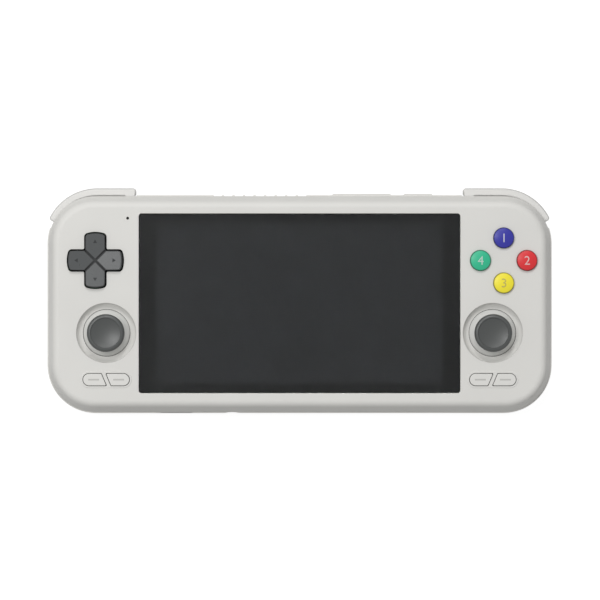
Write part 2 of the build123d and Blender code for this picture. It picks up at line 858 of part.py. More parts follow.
with BuildPart() as dpad:
    with BuildSketch(Plane.XY.offset(pad_low_z - pad_flange)):
        Circle(pad_flange_radius)
    extrude(amount=pad_flange)
    with BuildSketch(Plane.XY.offset(pad_low_z)):
        add(cross_outline(pad_span, pad_arm, pad_tip_round, pad_inner_round))
    extrude(amount=pad_top_z - pad_low_z)
    fillet(dpad.edges().group_by(Axis.Z)[-1], pad_edge)
    with BuildSketch(Plane.XY.offset(pad_top_z)):
        Rectangle(pad_span, pad_span)
    with BuildSketch(Plane.XY.offset(pad_top_z - pad_dip)):
        Rectangle(pad_dip_flat, pad_dip_flat)
    loft(mode=Mode.SUBTRACT)
    with BuildSketch(Plane.XY.offset(pad_top_z)):
        SlotOverall(pad_groove_length, pad_groove_width, rotation=45)
        SlotOverall(pad_groove_length, pad_groove_width, rotation=-45)
    extrude(amount=-pad_dip - pad_groove_depth, mode=Mode.SUBTRACT)
    with Locations((0, 0, ball_z)):
        Sphere(ball_radius + pin_gap, mode=Mode.SUBTRACT)
keep("dpad", dpad.part.moved(Location((-control_x, control_y, 0))))

with BuildPart() as dpad_pivot_ball:
    with Locations((-control_x, control_y, ball_z)):
        Sphere(ball_radius)
keep("dpad_pivot_ball", dpad_pivot_ball.part)

# Rubber sheets under the keys, with a dome for each contact
sheet_thickness = 0.25
dome_radius = 2.2
dome_top_radius = 1.45
dome_height = 0.3
pad_dome_reach = 6.4
pad_dome_height = 0.7
pad_sheet_radius = 9.9
sheet_z = board_top_z + seat_gap


def domes(spots, height):
    """Low cones on a rubber sheet, one at each spot."""
    for x, y in spots:
        with Locations((x, y, sheet_z)):
            Cone(
                dome_radius,
                dome_top_radius,
                sheet_thickness + height,
                align=(Align.CENTER, Align.CENTER, Align.MIN),
            )


with BuildPart() as dpad_membrane:
    with BuildSketch(Plane.XY.offset(sheet_z)):
        with Locations((-control_x, control_y)):
            Circle(pad_sheet_radius)
            Circle(stud_radius + 2 * pin_gap, mode=Mode.SUBTRACT)
    extrude(amount=sheet_thickness)
    domes(
        [
            (x - control_x, y + control_y)
            for x, y in (
                (pad_dome_reach, 0), (0, pad_dome_reach), (-pad_dome_reach, 0), (0, -pad_dome_reach)
            )
        ],
        pad_dome_height,
    )
keep("dpad_membrane", dpad_membrane.part)

# Face buttons: a domed cap, a flange under the face and a foot above the rubber dome
button_top_z = 17.4
button_crown = 0.6
button_edge = 0.4
button_flange_radius = 4.6
button_flange = 0.8
button_foot_radius = 2.4
button_foot_z = 11.5
button_flange_z = face_under_z - seat_gap - button_flange

with BuildPart() as face_button:
    crown_radius = (button_radius * button_radius + button_crown * button_crown) / (2 * button_crown)
    with BuildSketch(Plane.XZ):
        with BuildLine():
            Polyline(
                (button_radius, button_top_z - button_crown),
                (button_radius, button_flange_z + button_flange),
                (button_flange_radius, button_flange_z + button_flange),
                (button_flange_radius, button_flange_z),
                (button_foot_radius, button_flange_z),
                (button_foot_radius, button_foot_z),
                (0, button_foot_z),
                (0, button_top_z),
            )
            RadiusArc((0, button_top_z), (button_radius, button_top_z - button_crown), crown_radius)
        make_face()
    revolve(axis=Axis.Z)
    rim = face_button.edges().filter_by(GeomType.CIRCLE).filter_by(
        lambda e: abs(e.center().Z - button_top_z + button_crown) < button_edge
    )
    fillet(rim, button_edge)
for name, (x, y) in zip(("top", "right", "bottom", "left"), button_places):
    keep(
        name + "_face_button",
        face_button.part.moved(Location((control_x + x, control_y + y, 0))),
    )

sheet_margin = 4.1
with BuildPart() as face_button_membrane:
    with BuildSketch(Plane.XY.offset(sheet_z)):
        with Locations((control_x, control_y)):
            SlotOverall(2 * (button_step_x + sheet_margin), 2 * sheet_margin)
            SlotOverall(2 * (button_step_y + sheet_margin), 2 * sheet_margin, rotation=90)
    extrude(amount=sheet_thickness)
    domes([(control_x + x, control_y + y) for x, y in button_places], dome_height)
keep("face_button_membrane", face_button_membrane.part)

# Function keys: slanted half pills with a flange under the face
key_top_z = 16.2
key_edge = 0.3
key_flange = 0.7
key_flange_margin = 0.5
key_foot_x = 5.2
key_foot_radius = 1.5
key_foot_z = 11.2
key_flange_z = face_under_z - seat_gap - key_flange


def function_key(side):
    """One function key of the left-hand pair: side is -1 for the outer key, 1 for the inner."""
    with BuildPart() as key:
        with BuildSketch(Plane.XY.offset(key_flange_z)):
            add(key_outline(side, 0))
        extrude(amount=key_top_z - key_flange_z)
        fillet(key.edges().group_by(Axis.Z)[-1], key_edge)
        with BuildSketch(Plane.XY.offset(key_flange_z)):
            add(key_outline(side, key_flange_margin))
        extrude(amount=key_flange)
        with BuildSketch(Plane.XY.offset(key_foot_z)):
            with Locations((side * key_foot_x, 0)):
                Circle(key_foot_radius)
        extrude(amount=key_flange_z - key_foot_z)
    return key.part.moved(Location((-key_x, key_y, 0)))


outer_key = function_key(-1)
inner_key = function_key(1)
keep("home_button", outer_key)
keep("back_button", inner_key)
keep("select_button", inner_key.mirror(Plane.YZ))
keep("start_button", outer_key.mirror(Plane.YZ))

key_sheet_length = 17.0
key_sheet_height = 5.2
with BuildPart() as key_membrane:
    with BuildSketch(Plane.XY.offset(sheet_z)):
        with Locations((key_x, key_y)):
            SlotOverall(key_sheet_length, key_sheet_height)
    extrude(amount=sheet_thickness)
    domes([(key_x - key_foot_x, key_y), (key_x + key_foot_x, key_y)], dome_height)
keep_pair("key_membrane", key_membrane.part)

# Thumbsticks: a housing, a yoke that tilts up and down, a hub that tilts left and right in
# the yoke, and a shaft with skirt and cap that clicks down through the hub
housing_side = 16.0
housing_base_top_z = 5.4
housing_frame = 12.4
housing_top_z = 9.0
housing_opening = 10.2
housing_floor = 1.2
housing_z = floor_wall + seat_gap
yoke_side = 9.2
yoke_opening = 6.2
yoke_height = 2.4
trunnion_radius = 0.95
hub_side = 5.4
hub_height = 2.4
hub_trunnion_radius = 0.7
shaft_radius = 1.5
shaft_low_z = 4.6
shaft_top_z = 18.0
skirt_angle = 74
skirt_crown_z = 16.6
cap_radius = 6.88
cap_low_z = 17.0
cap_top_z = 19.6
cap_low_round = 1.1
cap_ring_radius = 5.85
cap_ring_width = 0.3
cap_ring_step = 0.25
cap_ring_slope = 0.15
cap_shoulder = 1.15
cap_dip = 1.0
cap_neck_radius = 4.2


def box_between(size_x, size_y, low, high):
    """A square block about the stick axis between two heights."""
    with Locations((0, 0, low)):
        Box(size_x, size_y, high - low, align=(Align.CENTER, Align.CENTER, Align.MIN))


with BuildPart() as stick_housing:
    box_between(housing_side, housing_side, housing_z, housing_base_top_z)
    box_between(housing_frame, housing_frame, housing_base_top_z, housing_top_z)
    with BuildSketch(Plane.XY.offset(housing_z + housing_floor)):
        Rectangle(housing_opening, housing_opening)
    extrude(amount=housing_top_z, mode=Mode.SUBTRACT)
    with BuildSketch(Plane.YZ.offset(-housing_frame)):
        with Locations((0, gimbal_z)):
            Circle(trunnion_radius + bore_gap)
    extrude(amount=2 * housing_frame, mode=Mode.SUBTRACT)

with BuildPart() as stick_yoke:
    box_between(yoke_side, yoke_side, gimbal_z - yoke_height / 2, gimbal_z + yoke_height / 2)
    with BuildSketch(Plane.YZ.offset(-housing_frame / 2)):
        with Locations((0, gimbal_z)):
            Circle(trunnion_radius)
    extrude(amount=housing_frame)
    with BuildSketch(Plane.XY.offset(gimbal_z - yoke_height)):
        Rectangle(yoke_opening, yoke_opening)
    extrude(amount=2 * yoke_height, mode=Mode.SUBTRACT)
    with BuildSketch(Plane.XZ.offset(-yoke_side)):
        with Locations((0, gimbal_z)):
            Circle(hub_trunnion_radius + bore_gap)
    extrude(amount=2 * yoke_side, mode=Mode.SUBTRACT)

with BuildPart() as stick_hub:
    box_between(hub_side, hub_side, gimbal_z - hub_height / 2, gimbal_z + hub_height / 2)
    with BuildSketch(Plane.XZ.offset(-yoke_side / 2)):
        with Locations((0, gimbal_z)):
            Circle(hub_trunnion_radius)
    extrude(amount=yoke_side)
    with BuildSketch(Plane.XY.offset(gimbal_z - hub_height)):
        Circle(shaft_radius + bore_gap)
    extrude(amount=2 * hub_height, mode=Mode.SUBTRACT)

with BuildPart() as stick_shaft:
    with BuildSketch(Plane.XY.offset(shaft_low_z)):
        Circle(shaft_radius)
    extrude(amount=shaft_top_z - shaft_low_z)

with BuildPart() as skirt_hollow:
    with Locations((0, 0, gimbal_z)):
        Sphere(skirt_radius - skirt_wall)
    with BuildSketch():
        Circle(2 * skirt_radius)
    extrude(amount=skirt_crown_z - skirt_wall, mode=Mode.INTERSECT)

with BuildPart() as stick_skirt:
    rim_z = gimbal_z + skirt_radius * cos(radians(skirt_angle))
    with Locations((0, 0, gimbal_z)):
        Sphere(skirt_radius)
    with BuildSketch(Plane.XY.offset(rim_z)):
        Circle(2 * skirt_radius)
    extrude(amount=skirt_crown_z - rim_z, mode=Mode.INTERSECT)
    add(skirt_hollow.part, mode=Mode.SUBTRACT)
    with BuildSketch(Plane.XY.offset(gimbal_z)):
        Circle(shaft_radius + pin_gap)
    extrude(amount=skirt_crown_z, mode=Mode.SUBTRACT)

with BuildPart() as stick_cap:
    with BuildSketch(Plane.XZ):
        with BuildLine():
            dish_end = cap_ring_radius - cap_ring_width - cap_ring_slope
            dish_end_z = cap_top_z - cap_ring_step
            dish_rise = cap_dip - cap_ring_step
            dish_curve = (dish_end * dish_end + dish_rise * dish_rise) / (2 * dish_rise)
            RadiusArc((0, cap_top_z - cap_dip), (dish_end, dish_end_z), -dish_curve)
            Polyline(
                (dish_end, dish_end_z),
                (cap_ring_radius - cap_ring_width, cap_top_z),
                (cap_ring_radius, cap_top_z),
            )
            RadiusArc(
                (cap_ring_radius, cap_top_z), (cap_radius, cap_top_z - cap_shoulder), cap_shoulder
            )
            Polyline(
                (cap_radius, cap_top_z - cap_shoulder),
                (cap_radius, cap_low_z + cap_low_round),
                (cap_radius - cap_low_round, cap_low_z),
                (cap_neck_radius, cap_low_z),
                (cap_neck_radius, skirt_crown_z + seat_gap),
                (0, skirt_crown_z + seat_gap),
                (0, cap_top_z - cap_dip),
            )
        make_face()
    revolve(axis=Axis.Z)
    with BuildSketch(Plane.XY.offset(skirt_crown_z)):
        Circle(shaft_radius + pin_gap)
    extrude(amount=shaft_top_z + seat_gap - skirt_crown_z, mode=Mode.SUBTRACT)

for side, x in (("left_", -stick_x), ("right_", stick_x)):
    for name, part in (
        ("stick_housing", stick_housing.part),
        ("stick_yoke", stick_yoke.part),
        ("stick_hub", stick_hub.part),
        ("stick_shaft", stick_shaft.part),
        ("stick_skirt", stick_skirt.part),
        ("stick_cap", stick_cap.part),
    ):
        keep(side + name, part.moved(Location((x, stick_y, 0))))

# Volume rocker: it rocks on a round nub at its middle
flange_margin = 0.7
rocker_swing = 0.55
rocker_flange = 0.8
rocker_nub = 0.8
rocker_nub_drop = 1.3
rocker_nub_y = seat_y - rocker_nub_drop
power_flange = 0.8
power_nub_drop = 1.6
power_nub_y = seat_y - power_nub_drop
power_nub_radius = 1.0
side_key_front_y = top_y + side_key_proud
side_flange_height = side_key_height + 2 * flange_margin

with BuildPart() as volume_rocker:
    with BuildSketch(Plane.XZ.offset(-side_key_front_y)):
        with Locations((rocker_x, key_row_z)):
            RectangleRounded(rocker_length, side_key_height, side_key_edge)
    rocker_back_y = seat_y - rocker_swing - rocker_flange
    extrude(amount=side_key_front_y - rocker_back_y)
    chamfer(volume_rocker.edges().group_by(Axis.Y)[-1], side_key_edge)
    with BuildSketch(Plane.XZ.offset(-rocker_back_y - rocker_flange)):
        with Locations((rocker_x, key_row_z)):
            Rectangle(rocker_length + 2 * flange_margin, side_flange_height)
    extrude(amount=rocker_flange)
    with BuildSketch(Plane.XY.offset(key_row_z - side_key_height / 2)):
        with Locations((rocker_x, rocker_nub_y)):
            Circle(rocker_nub)
    extrude(amount=side_key_height)
keep("volume_rocker", volume_rocker.part)

# Power button: it slides straight in
with BuildPart() as power_button:
    power_back_y = seat_y - seat_gap - power_flange
    with BuildSketch(Plane.XZ.offset(-side_key_front_y)):
        with Locations((power_x, key_row_z)):
            RectangleRounded(power_length, side_key_height, side_key_edge)
    extrude(amount=side_key_front_y - power_back_y)
    chamfer(power_button.edges().group_by(Axis.Y)[-1], side_key_edge)
    with BuildSketch(Plane.XZ.offset(-power_back_y - power_flange)):
        with Locations((power_x, key_row_z)):
            Rectangle(power_length + 2 * flange_margin, side_flange_height)
    extrude(amount=power_flange)
    with BuildSketch(Plane.XZ.offset(-power_back_y)):
        with Locations((power_x, key_row_z)):
            Circle(power_nub_radius)
    extrude(amount=power_back_y - power_nub_y)
keep("power_button", power_button.part)

# Side key board: an upright board with the pivot block of the rocker and three switches
side_board_start_x = 10.5
side_board_end_x = 50.5
side_board_low_z = 3.0
side_board_high_z = 8.7
side_board_drop = 3.2
side_board_y = seat_y - side_board_drop
side_board_thickness = 0.8
switch_width = 3.0
switch_height = 2.0
switch_drop = 2.1
switch_front_y = seat_y - switch_drop
switch_offset = 7.5
pivot_width = 2.0

with BuildPart() as side_key_board:
    with BuildSketch(Plane.XZ.offset(-side_board_y - side_board_thickness)):
        with Locations(
            ((side_board_start_x + side_board_end_x) / 2, (side_board_low_z + side_board_high_z) / 2)
        ):
            Rectangle(side_board_end_x - side_board_start_x, side_board_high_z - side_board_low_z)
    extrude(amount=side_board_thickness)
    with BuildSketch(Plane.XZ.offset(-switch_front_y)):
        with Locations(
            (rocker_x - switch_offset, key_row_z),
            (rocker_x + switch_offset, key_row_z),
            (power_x, key_row_z),
        ):
            Rectangle(switch_width, switch_height)
    extrude(amount=switch_front_y - side_board_y - side_board_thickness / 2)
    pivot_front_y = rocker_nub_y - rocker_nub - seat_gap
    with BuildSketch(Plane.XZ.offset(-pivot_front_y)):
        with Locations((rocker_x, key_row_z)):
            Rectangle(pivot_width, side_key_height)
    extrude(amount=pivot_front_y - side_board_y - side_board_thickness / 2)
keep("side_key_board", side_key_board.part)

# Control boards: each carries the contacts under one hand and has a round hole for the stick
board_inset = 3.6
control_board_x = 57.2
control_board_low_y = -31.6
control_board_high_y = 28.6
stick_hole_radius = 11.3
post_clearance = 0.3

with BuildPart() as control_board:
    with BuildSketch(Plane.XY.offset(board_under_z)):
        outline(board_inset)
        with BuildSketch(mode=Mode.INTERSECT):
            with Locations((control_board_x, (control_board_high_y + control_board_low_y) / 2)):
                Rectangle(
                    side_x, control_board_high_y - control_board_low_y, align=(Align.MIN, Align.CENTER)
                )
        with Locations((stick_x, stick_y)):
            Circle(stick_hole_radius, mode=Mode.SUBTRACT)
        with Locations(*post_spots):
            Circle(post_radius + post_clearance, mode=Mode.SUBTRACT)
        with Locations(*boss_spots):
            Circle(small_hole_radius, mode=Mode.SUBTRACT)
    extrude(amount=board_thickness)
keep("right_control_board", control_board.part)

with BuildPart() as left_control_board:
    add(control_board.part.mirror(Plane.YZ))
    with BuildSketch(Plane.XY.offset(board_top_z)):
        with Locations((-control_x, control_y)):
            Circle(stud_radius)
    extrude(amount=stud_top_z - board_top_z)
    with Locations((-control_x, control_y, ball_z)):
        Sphere(ball_radius + pin_gap, mode=Mode.SUBTRACT)
keep("left_control_board", left_control_board.part)

# Main board: over the fan, with the chips on top
main_corner = 2.0
chip_size = 14.0
chip_height = 1.2
memory_size = 9.0
memory_gap = 4.0
shield_top_inset = 5.0
shield_depth = 22.0
shield_high_y = main_high_y - shield_top_inset
shield_low_y = shield_high_y - shield_depth
chip_y = (shield_low_y + shield_high_y) / 2

with BuildPart() as main_board:
    with BuildSketch(Plane.XY.offset(main_board_z)):
        with Locations((0, (main_low_y + main_high_y) / 2)):
            RectangleRounded(2 * main_half_x, main_high_y - main_low_y, main_corner)
        with Locations(*main_screw_places):
            Circle(small_hole_radius, mode=Mode.SUBTRACT)
    extrude(amount=board_thickness)
    with BuildSketch(Plane.XY.offset(main_board_z + board_thickness)):
        with Locations((fan_x, chip_y)):
            Rectangle(chip_size, chip_size)
        with Locations((fan_x + (chip_size + memory_size) / 2 + memory_gap, chip_y)):
            Rectangle(memory_size, memory_size)
    extrude(amount=chip_height)
keep("main_board", main_board.part)

# Shield can over the chips
shield_start_x = -28.0
shield_end_x = 16.0
shield_wall = 0.4
shield_height = 2.0

with BuildPart() as shield_can:
    shield_z = main_board_z + board_thickness + seat_gap
    shield_length = shield_end_x - shield_start_x
    shield_breadth = shield_high_y - shield_low_y
    with BuildSketch(Plane.XY.offset(shield_z)):
        with Locations(
            ((shield_start_x + shield_end_x) / 2, (shield_low_y + shield_high_y) / 2)
        ):
            Rectangle(shield_length, shield_breadth)
    extrude(amount=shield_height)
    with BuildSketch(Plane.XY.offset(shield_z)):
        with Locations(
            ((shield_start_x + shield_end_x) / 2, (shield_low_y + shield_high_y) / 2)
        ):
            Rectangle(shield_length - 2 * shield_wall, shield_breadth - 2 * shield_wall)
    extrude(amount=shield_height - shield_wall, mode=Mode.SUBTRACT)
keep("shield_can", shield_can.part)

# Fan: a flat blower under the main board that draws through the floor and blows to the slots
fan_side = 30.0
fan_height = 5.2
fan_wall = 0.8
fan_z = floor_wall + seat_gap
fan_room_radius = 13.4
fan_intake_radius = 10.0
fan_outlet = 24.0
axle_radius = 0.8
rotor_hub_radius = 5.0
rotor_radius = 12.4
rotor_gap = 0.4
blade_count = 11
blade_thickness = 0.6
rotor_plate = 0.5
rotor_low_z = fan_z + fan_wall + rotor_gap
rotor_high_z = fan_z + fan_height - fan_wall - rotor_gap

with BuildPart() as fan_housing:
    with BuildSketch(Plane.XY.offset(fan_z)):
        RectangleRounded(fan_side, fan_side, fan_wall)
    extrude(amount=fan_height)
    with BuildSketch(Plane.XY.offset(fan_z + fan_wall)):
        Circle(fan_room_radius)
        with Locations((0, fan_room_radius / 2)):
            Rectangle(fan_outlet, fan_side / 2 + overrun, align=(Align.CENTER, Align.MIN))
    extrude(amount=fan_height - 2 * fan_wall, mode=Mode.SUBTRACT)
    with BuildSketch(Plane.XY.offset(fan_z)):
        Circle(fan_intake_radius)
    extrude(amount=fan_wall, mode=Mode.SUBTRACT)
    with BuildSketch(Plane.XY.offset(fan_z + fan_height - fan_wall)):
        Circle(axle_radius)
    extrude(amount=-fan_height + 2 * fan_wall + rotor_gap)
keep("fan_housing", fan_housing.part.moved(Location((fan_x, fan_y, 0))))

with BuildPart() as fan_rotor:
    with BuildSketch(Plane.XY.offset(rotor_low_z)):
        Circle(rotor_hub_radius)
        with PolarLocations((rotor_hub_radius + rotor_radius) / 2, blade_count):
            Rectangle(rotor_radius - rotor_hub_radius + 2 * blade_thickness, blade_thickness)
        Circle(rotor_radius, mode=Mode.INTERSECT)
    extrude(amount=rotor_high_z - rotor_low_z)
    with BuildSketch(Plane.XY.offset(rotor_high_z - rotor_plate)):
        Circle(rotor_radius)
    extrude(amount=rotor_plate)
    with BuildSketch(Plane.XY.offset(rotor_low_z)):
        Circle(axle_radius + bore_gap)
    extrude(amount=rotor_high_z - rotor_low_z, mode=Mode.SUBTRACT)
keep("fan_rotor", fan_rotor.part.moved(Location((fan_x, fan_y, 0))))

# Heat sink: upright fins between the fan and the exhaust slots
sink_start_x = -32.0
sink_end_x = 2.6
sink_top_inset = 4.45
sink_depth = 8.2
sink_high_y = top_y - sink_top_inset
sink_low_y = sink_high_y - sink_depth
sink_low_z = 1.7
sink_base = 0.8
fin_count = 18
fin_thickness = 0.5

with BuildPart() as heat_sink:
    sink_top_z = main_board_z - seat_gap
    sink_center_y = (sink_low_y + sink_high_y) / 2
    with BuildSketch(Plane.XY.offset(sink_top_z - sink_base)):
        with Locations(((sink_start_x + sink_end_x) / 2, sink_center_y)):
            Rectangle(sink_end_x - sink_start_x, sink_high_y - sink_low_y)
    extrude(amount=sink_base)
    fin_pitch = (sink_end_x - sink_start_x - fin_thickness) / (fin_count - 1)
    with BuildSketch(Plane.XY.offset(sink_low_z)):
        for i in range(fin_count):
            with Locations((sink_start_x + fin_thickness / 2 + fin_pitch * i, sink_center_y)):
                Rectangle(fin_thickness, sink_high_y - sink_low_y)
    extrude(amount=sink_top_z - sink_base - sink_low_z)
keep("heat_sink", heat_sink.part)

# Battery: a flat pouch cell on the floor
battery_half_x = 49.0
battery_gap = 2.2
battery_depth = 20.2
battery_high_y = main_low_y - battery_gap
battery_low_y = battery_high_y - battery_depth
battery_height = 4.3
battery_edge = 1.0

with BuildPart() as battery:
    with BuildSketch(Plane.XY.offset(floor_wall + seat_gap)):
        with Locations((0, (battery_low_y + battery_high_y) / 2)):
            RectangleRounded(2 * battery_half_x, battery_high_y - battery_low_y, battery_edge)
    extrude(amount=battery_height)
    fillet(battery.edges().group_by(Axis.Z)[-1], battery_edge / 2)
keep("battery", battery.part)

# Port board: it holds the jack, the charging port and the card socket along the bottom edge
jack_body_width = 6.4
jack_cut_gap = 0.2
jack_barrel_inset = 0.95
jack_barrel_length = 1.9
jack_length = 13.7
jack_barrel_y = jack_barrel_inset - top_y
jack_front_y = jack_barrel_y + jack_barrel_length
jack_back_y = jack_barrel_y + jack_length

with BuildPart() as port_board:
    with BuildSketch(Plane.XY.offset(port_board_z)):
        with Locations(
            (
                (port_board_start_x + port_board_end_x) / 2,
                (port_board_low_y + port_board_high_y) / 2,
            )
        ):
            Rectangle(port_board_end_x - port_board_start_x, port_board_high_y - port_board_low_y)
        with Locations((jack_x, jack_back_y + jack_cut_gap)):
            Rectangle(
                jack_body_width + 2 * jack_cut_gap,
                port_board_high_y - port_board_low_y,
                align=(Align.CENTER, Align.MAX),
                mode=Mode.SUBTRACT,
            )
        with Locations(*port_screw_places):
            Circle(small_hole_radius, mode=Mode.SUBTRACT)
    extrude(amount=board_thickness)
keep("port_board", port_board.part)

# Headphone jack: a block with a barrel in the wall, and small ears that sit on the board
jack_body_height = 5.0
jack_barrel_radius = 2.7
jack_bore_radius = 1.8
jack_bore_length = 13.4
jack_ear = 1.0
jack_ear_length = 5.0

with BuildPart() as headphone_jack:
    with BuildSketch(Plane.XZ.offset(-jack_back_y)):
        with Locations((jack_x, jack_z)):
            Rectangle(jack_body_width, jack_body_height)
    extrude(amount=jack_back_y - jack_front_y)
    ear_z = port_board_z + board_thickness + seat_gap
    with BuildSketch(Plane.XY.offset(ear_z)):
        with Locations((jack_x, (jack_back_y + jack_front_y) / 2)):
            Rectangle(jack_body_width + 2 * (jack_ear + jack_cut_gap), jack_ear_length)
    extrude(amount=jack_z + jack_body_height / 2 - ear_z)
    with BuildSketch(Plane.XZ.offset(-jack_front_y)):
        with Locations((jack_x, jack_z)):
            Circle(jack_barrel_radius)
    extrude(amount=jack_front_y - jack_barrel_y)
    with BuildSketch(Plane.XZ.offset(-jack_barrel_y)):
        with Locations((jack_x, jack_z)):
            Circle(jack_bore_radius)
    extrude(amount=-jack_bore_length, mode=Mode.SUBTRACT)
keep("headphone_jack", headphone_jack.part)

# Charging port: an oval metal shell with a tongue, under the port board
port_width = 8.94
port_height = 3.16
port_shell = 0.3
port_length = 7.4
port_front_inset = 1.25
port_front_y = port_front_inset - top_y
port_tongue_width = 6.7
port_tongue = 0.7
port_back_wall = 1.0
port_shell_gap = 0.02

with BuildPart() as charging_port:
    shell_z = port_board_z - port_shell_gap - port_height / 2
    with BuildSketch(Plane.XZ.offset(-port_front_y)):
        with Locations((0, shell_z)):
            SlotOverall(port_width, port_height)
    extrude(amount=-port_length)
    with BuildSketch(Plane.XZ.offset(-port_front_y)):
        with Locations((0, shell_z)):
            SlotOverall(port_width - 2 * port_shell, port_height - 2 * port_shell)
    extrude(amount=-port_length + port_back_wall, mode=Mode.SUBTRACT)
    with BuildSketch(Plane.XZ.offset(-port_front_y - port_back_wall)):
        with Locations((0, shell_z)):
            Rectangle(port_tongue_width, port_tongue)
    extrude(amount=-port_length + 2 * port_back_wall)
keep("charging_port", charging_port.part)

# Card socket: a flat metal cage on top of the port board, open to the bottom edge
socket_width = 14.0
socket_height = 1.5
socket_wall = 0.2
socket_front_inset = 2.15
socket_length = 13.9
socket_front_y = socket_front_inset - top_y
socket_back_y = socket_front_y + socket_length

with BuildPart() as card_socket:
    cage_z = port_board_z + board_thickness + seat_gap
    with BuildSketch(Plane.XZ.offset(-socket_back_y)):
        with Locations((slot_x, cage_z)):
            Rectangle(socket_width, socket_height, align=(Align.CENTER, Align.MIN))
    extrude(amount=socket_back_y - socket_front_y)
    with BuildSketch(Plane.XZ.offset(-socket_front_y)):
        with Locations((slot_x, cage_z + socket_wall)):
            Rectangle(
                slot_width, socket_height - 2 * socket_wall, align=(Align.CENTER, Align.MIN)
            )
    extrude(amount=-socket_back_y + socket_front_y + socket_wall, mode=Mode.SUBTRACT)
keep("card_socket", card_socket.part)

# Speakers: small sealed boxes behind the slots of the bottom edge
speaker_center_x = 70.4
speaker_length = 19.0
speaker_inset = 4.25
speaker_depth = 13.4
speaker_low_y = speaker_inset - top_y
speaker_high_y = speaker_low_y + speaker_depth
speaker_height = 4.8
speaker_corner = 1.0
driver_length = 15.0
driver_height = 3.4
driver_depth = 0.6

with BuildPart() as speaker:
    speaker_z = floor_wall + seat_gap
    with BuildSketch(Plane.XY.offset(speaker_z)):
        with Locations((speaker_center_x, (speaker_low_y + speaker_high_y) / 2)):
            RectangleRounded(speaker_length, speaker_high_y - speaker_low_y, speaker_corner)
    extrude(amount=speaker_height)
    with BuildSketch(Plane.XZ.offset(-speaker_low_y)):
        with Locations((speaker_center_x, speaker_z + speaker_height / 2)):
            SlotOverall(driver_length, driver_height)
    extrude(amount=-driver_depth, mode=Mode.SUBTRACT)
keep_pair("speaker", speaker.part)

# Board screws: from below into the bosses of the face, from above into the standoffs
board_screw = screw_solid(
    small_screw_radius,
    small_screw_length,
    small_head_radius,
    small_head_height,
    small_socket_radius,
    small_socket_depth,
)
board_screw_down = board_screw.rotate(Axis.X, 180)
with BuildPart() as board_screws:
    for x, y in boss_spots:
        add(board_screw_down.moved(Location((x, y, board_under_z - seat_gap))))
    for x, y in main_screw_places:
        add(board_screw.moved(Location((x, y, main_board_z + board_thickness + seat_gap))))
    for x, y in port_screw_places:
        add(board_screw.moved(Location((x, y, port_board_z + board_thickness + seat_gap))))
keep("board_screws", board_screws.part)
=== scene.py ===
import math

import bmesh
import bpy
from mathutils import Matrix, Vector


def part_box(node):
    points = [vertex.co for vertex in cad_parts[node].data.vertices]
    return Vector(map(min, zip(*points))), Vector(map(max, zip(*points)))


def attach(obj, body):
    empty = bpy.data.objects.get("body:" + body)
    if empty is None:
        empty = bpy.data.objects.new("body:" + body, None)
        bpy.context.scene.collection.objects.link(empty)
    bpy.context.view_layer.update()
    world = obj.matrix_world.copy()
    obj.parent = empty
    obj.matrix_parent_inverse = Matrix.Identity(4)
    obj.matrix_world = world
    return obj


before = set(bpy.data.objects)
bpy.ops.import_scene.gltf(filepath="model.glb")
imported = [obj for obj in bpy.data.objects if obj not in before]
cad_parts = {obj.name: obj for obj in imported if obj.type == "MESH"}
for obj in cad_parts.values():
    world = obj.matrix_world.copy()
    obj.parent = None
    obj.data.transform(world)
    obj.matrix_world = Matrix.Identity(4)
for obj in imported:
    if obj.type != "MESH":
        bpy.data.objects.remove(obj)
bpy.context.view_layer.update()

scene = bpy.context.scene
MM = 0.001

# The view: a product photograph taken straight down on the console's face with a long lens
# about a metre away, so the stick caps stand hardly wider than the rings around them.
camera_place = (0.18 * MM, 1.50 * MM, 1011.2 * MM)
camera_data = bpy.data.cameras.new("long_lens")
camera_data.lens = 164.0
camera_data.sensor_width = 36.0
camera_data.clip_end = 20.0
camera = bpy.data.objects.new("long_lens", camera_data)
camera.location = camera_place
scene.collection.objects.link(camera)
scene.camera = camera
scene.view_settings.view_transform = "Standard"


# The studio: two round soft boxes, one beyond the far edge and one over the left, an even white
# surround, and a pale sweep of paper under the console that keeps its soft shadow.
def hex_linear(text):
    """An sRGB colour such as "d8d7d3" as linear RGBA."""
    parts = [int(text[i:i + 2], 16) / 255 for i in (0, 2, 4)]
    return [p / 12.92 if p <= 0.04045 else ((p + 0.055) / 1.055) ** 2.4 for p in parts] + [1.0]


def node(tree, kind, inputs=None, **settings):
    """Adds a node, sets its settings, and fills or links its inputs by name or number."""
    made = tree.nodes.new(kind)
    for name, value in settings.items():
        setattr(made, name, value)
    for key, value in (inputs or {}).items():
        if isinstance(value, bpy.types.NodeSocket):
            tree.links.new(value, made.inputs[key])
        else:
            made.inputs[key].default_value = value
    return made


lamp_distance = 1.35


def soft_box(name, azimuth, height, size, energy):
    """A round soft lamp aimed at the console from an azimuth and a height in degrees."""
    data = bpy.data.lights.new(name, "AREA")
    data.shape = "DISK"
    data.size = size
    data.energy = energy
    lamp = bpy.data.objects.new(name, data)
    level = math.cos(math.radians(height))
    way = Vector((level * math.cos(math.radians(azimuth)), level * math.sin(math.radians(azimuth)),
                  math.sin(math.radians(height))))
    lamp.location = way * lamp_distance
    lamp.rotation_euler = way.to_track_quat("Z", "Y").to_euler()
    scene.collection.objects.link(lamp)


soft_box("far_soft_box", azimuth=92, height=47, size=0.42, energy=5.2)
soft_box("left_soft_box", azimuth=152, height=62, size=0.5, energy=5.6)


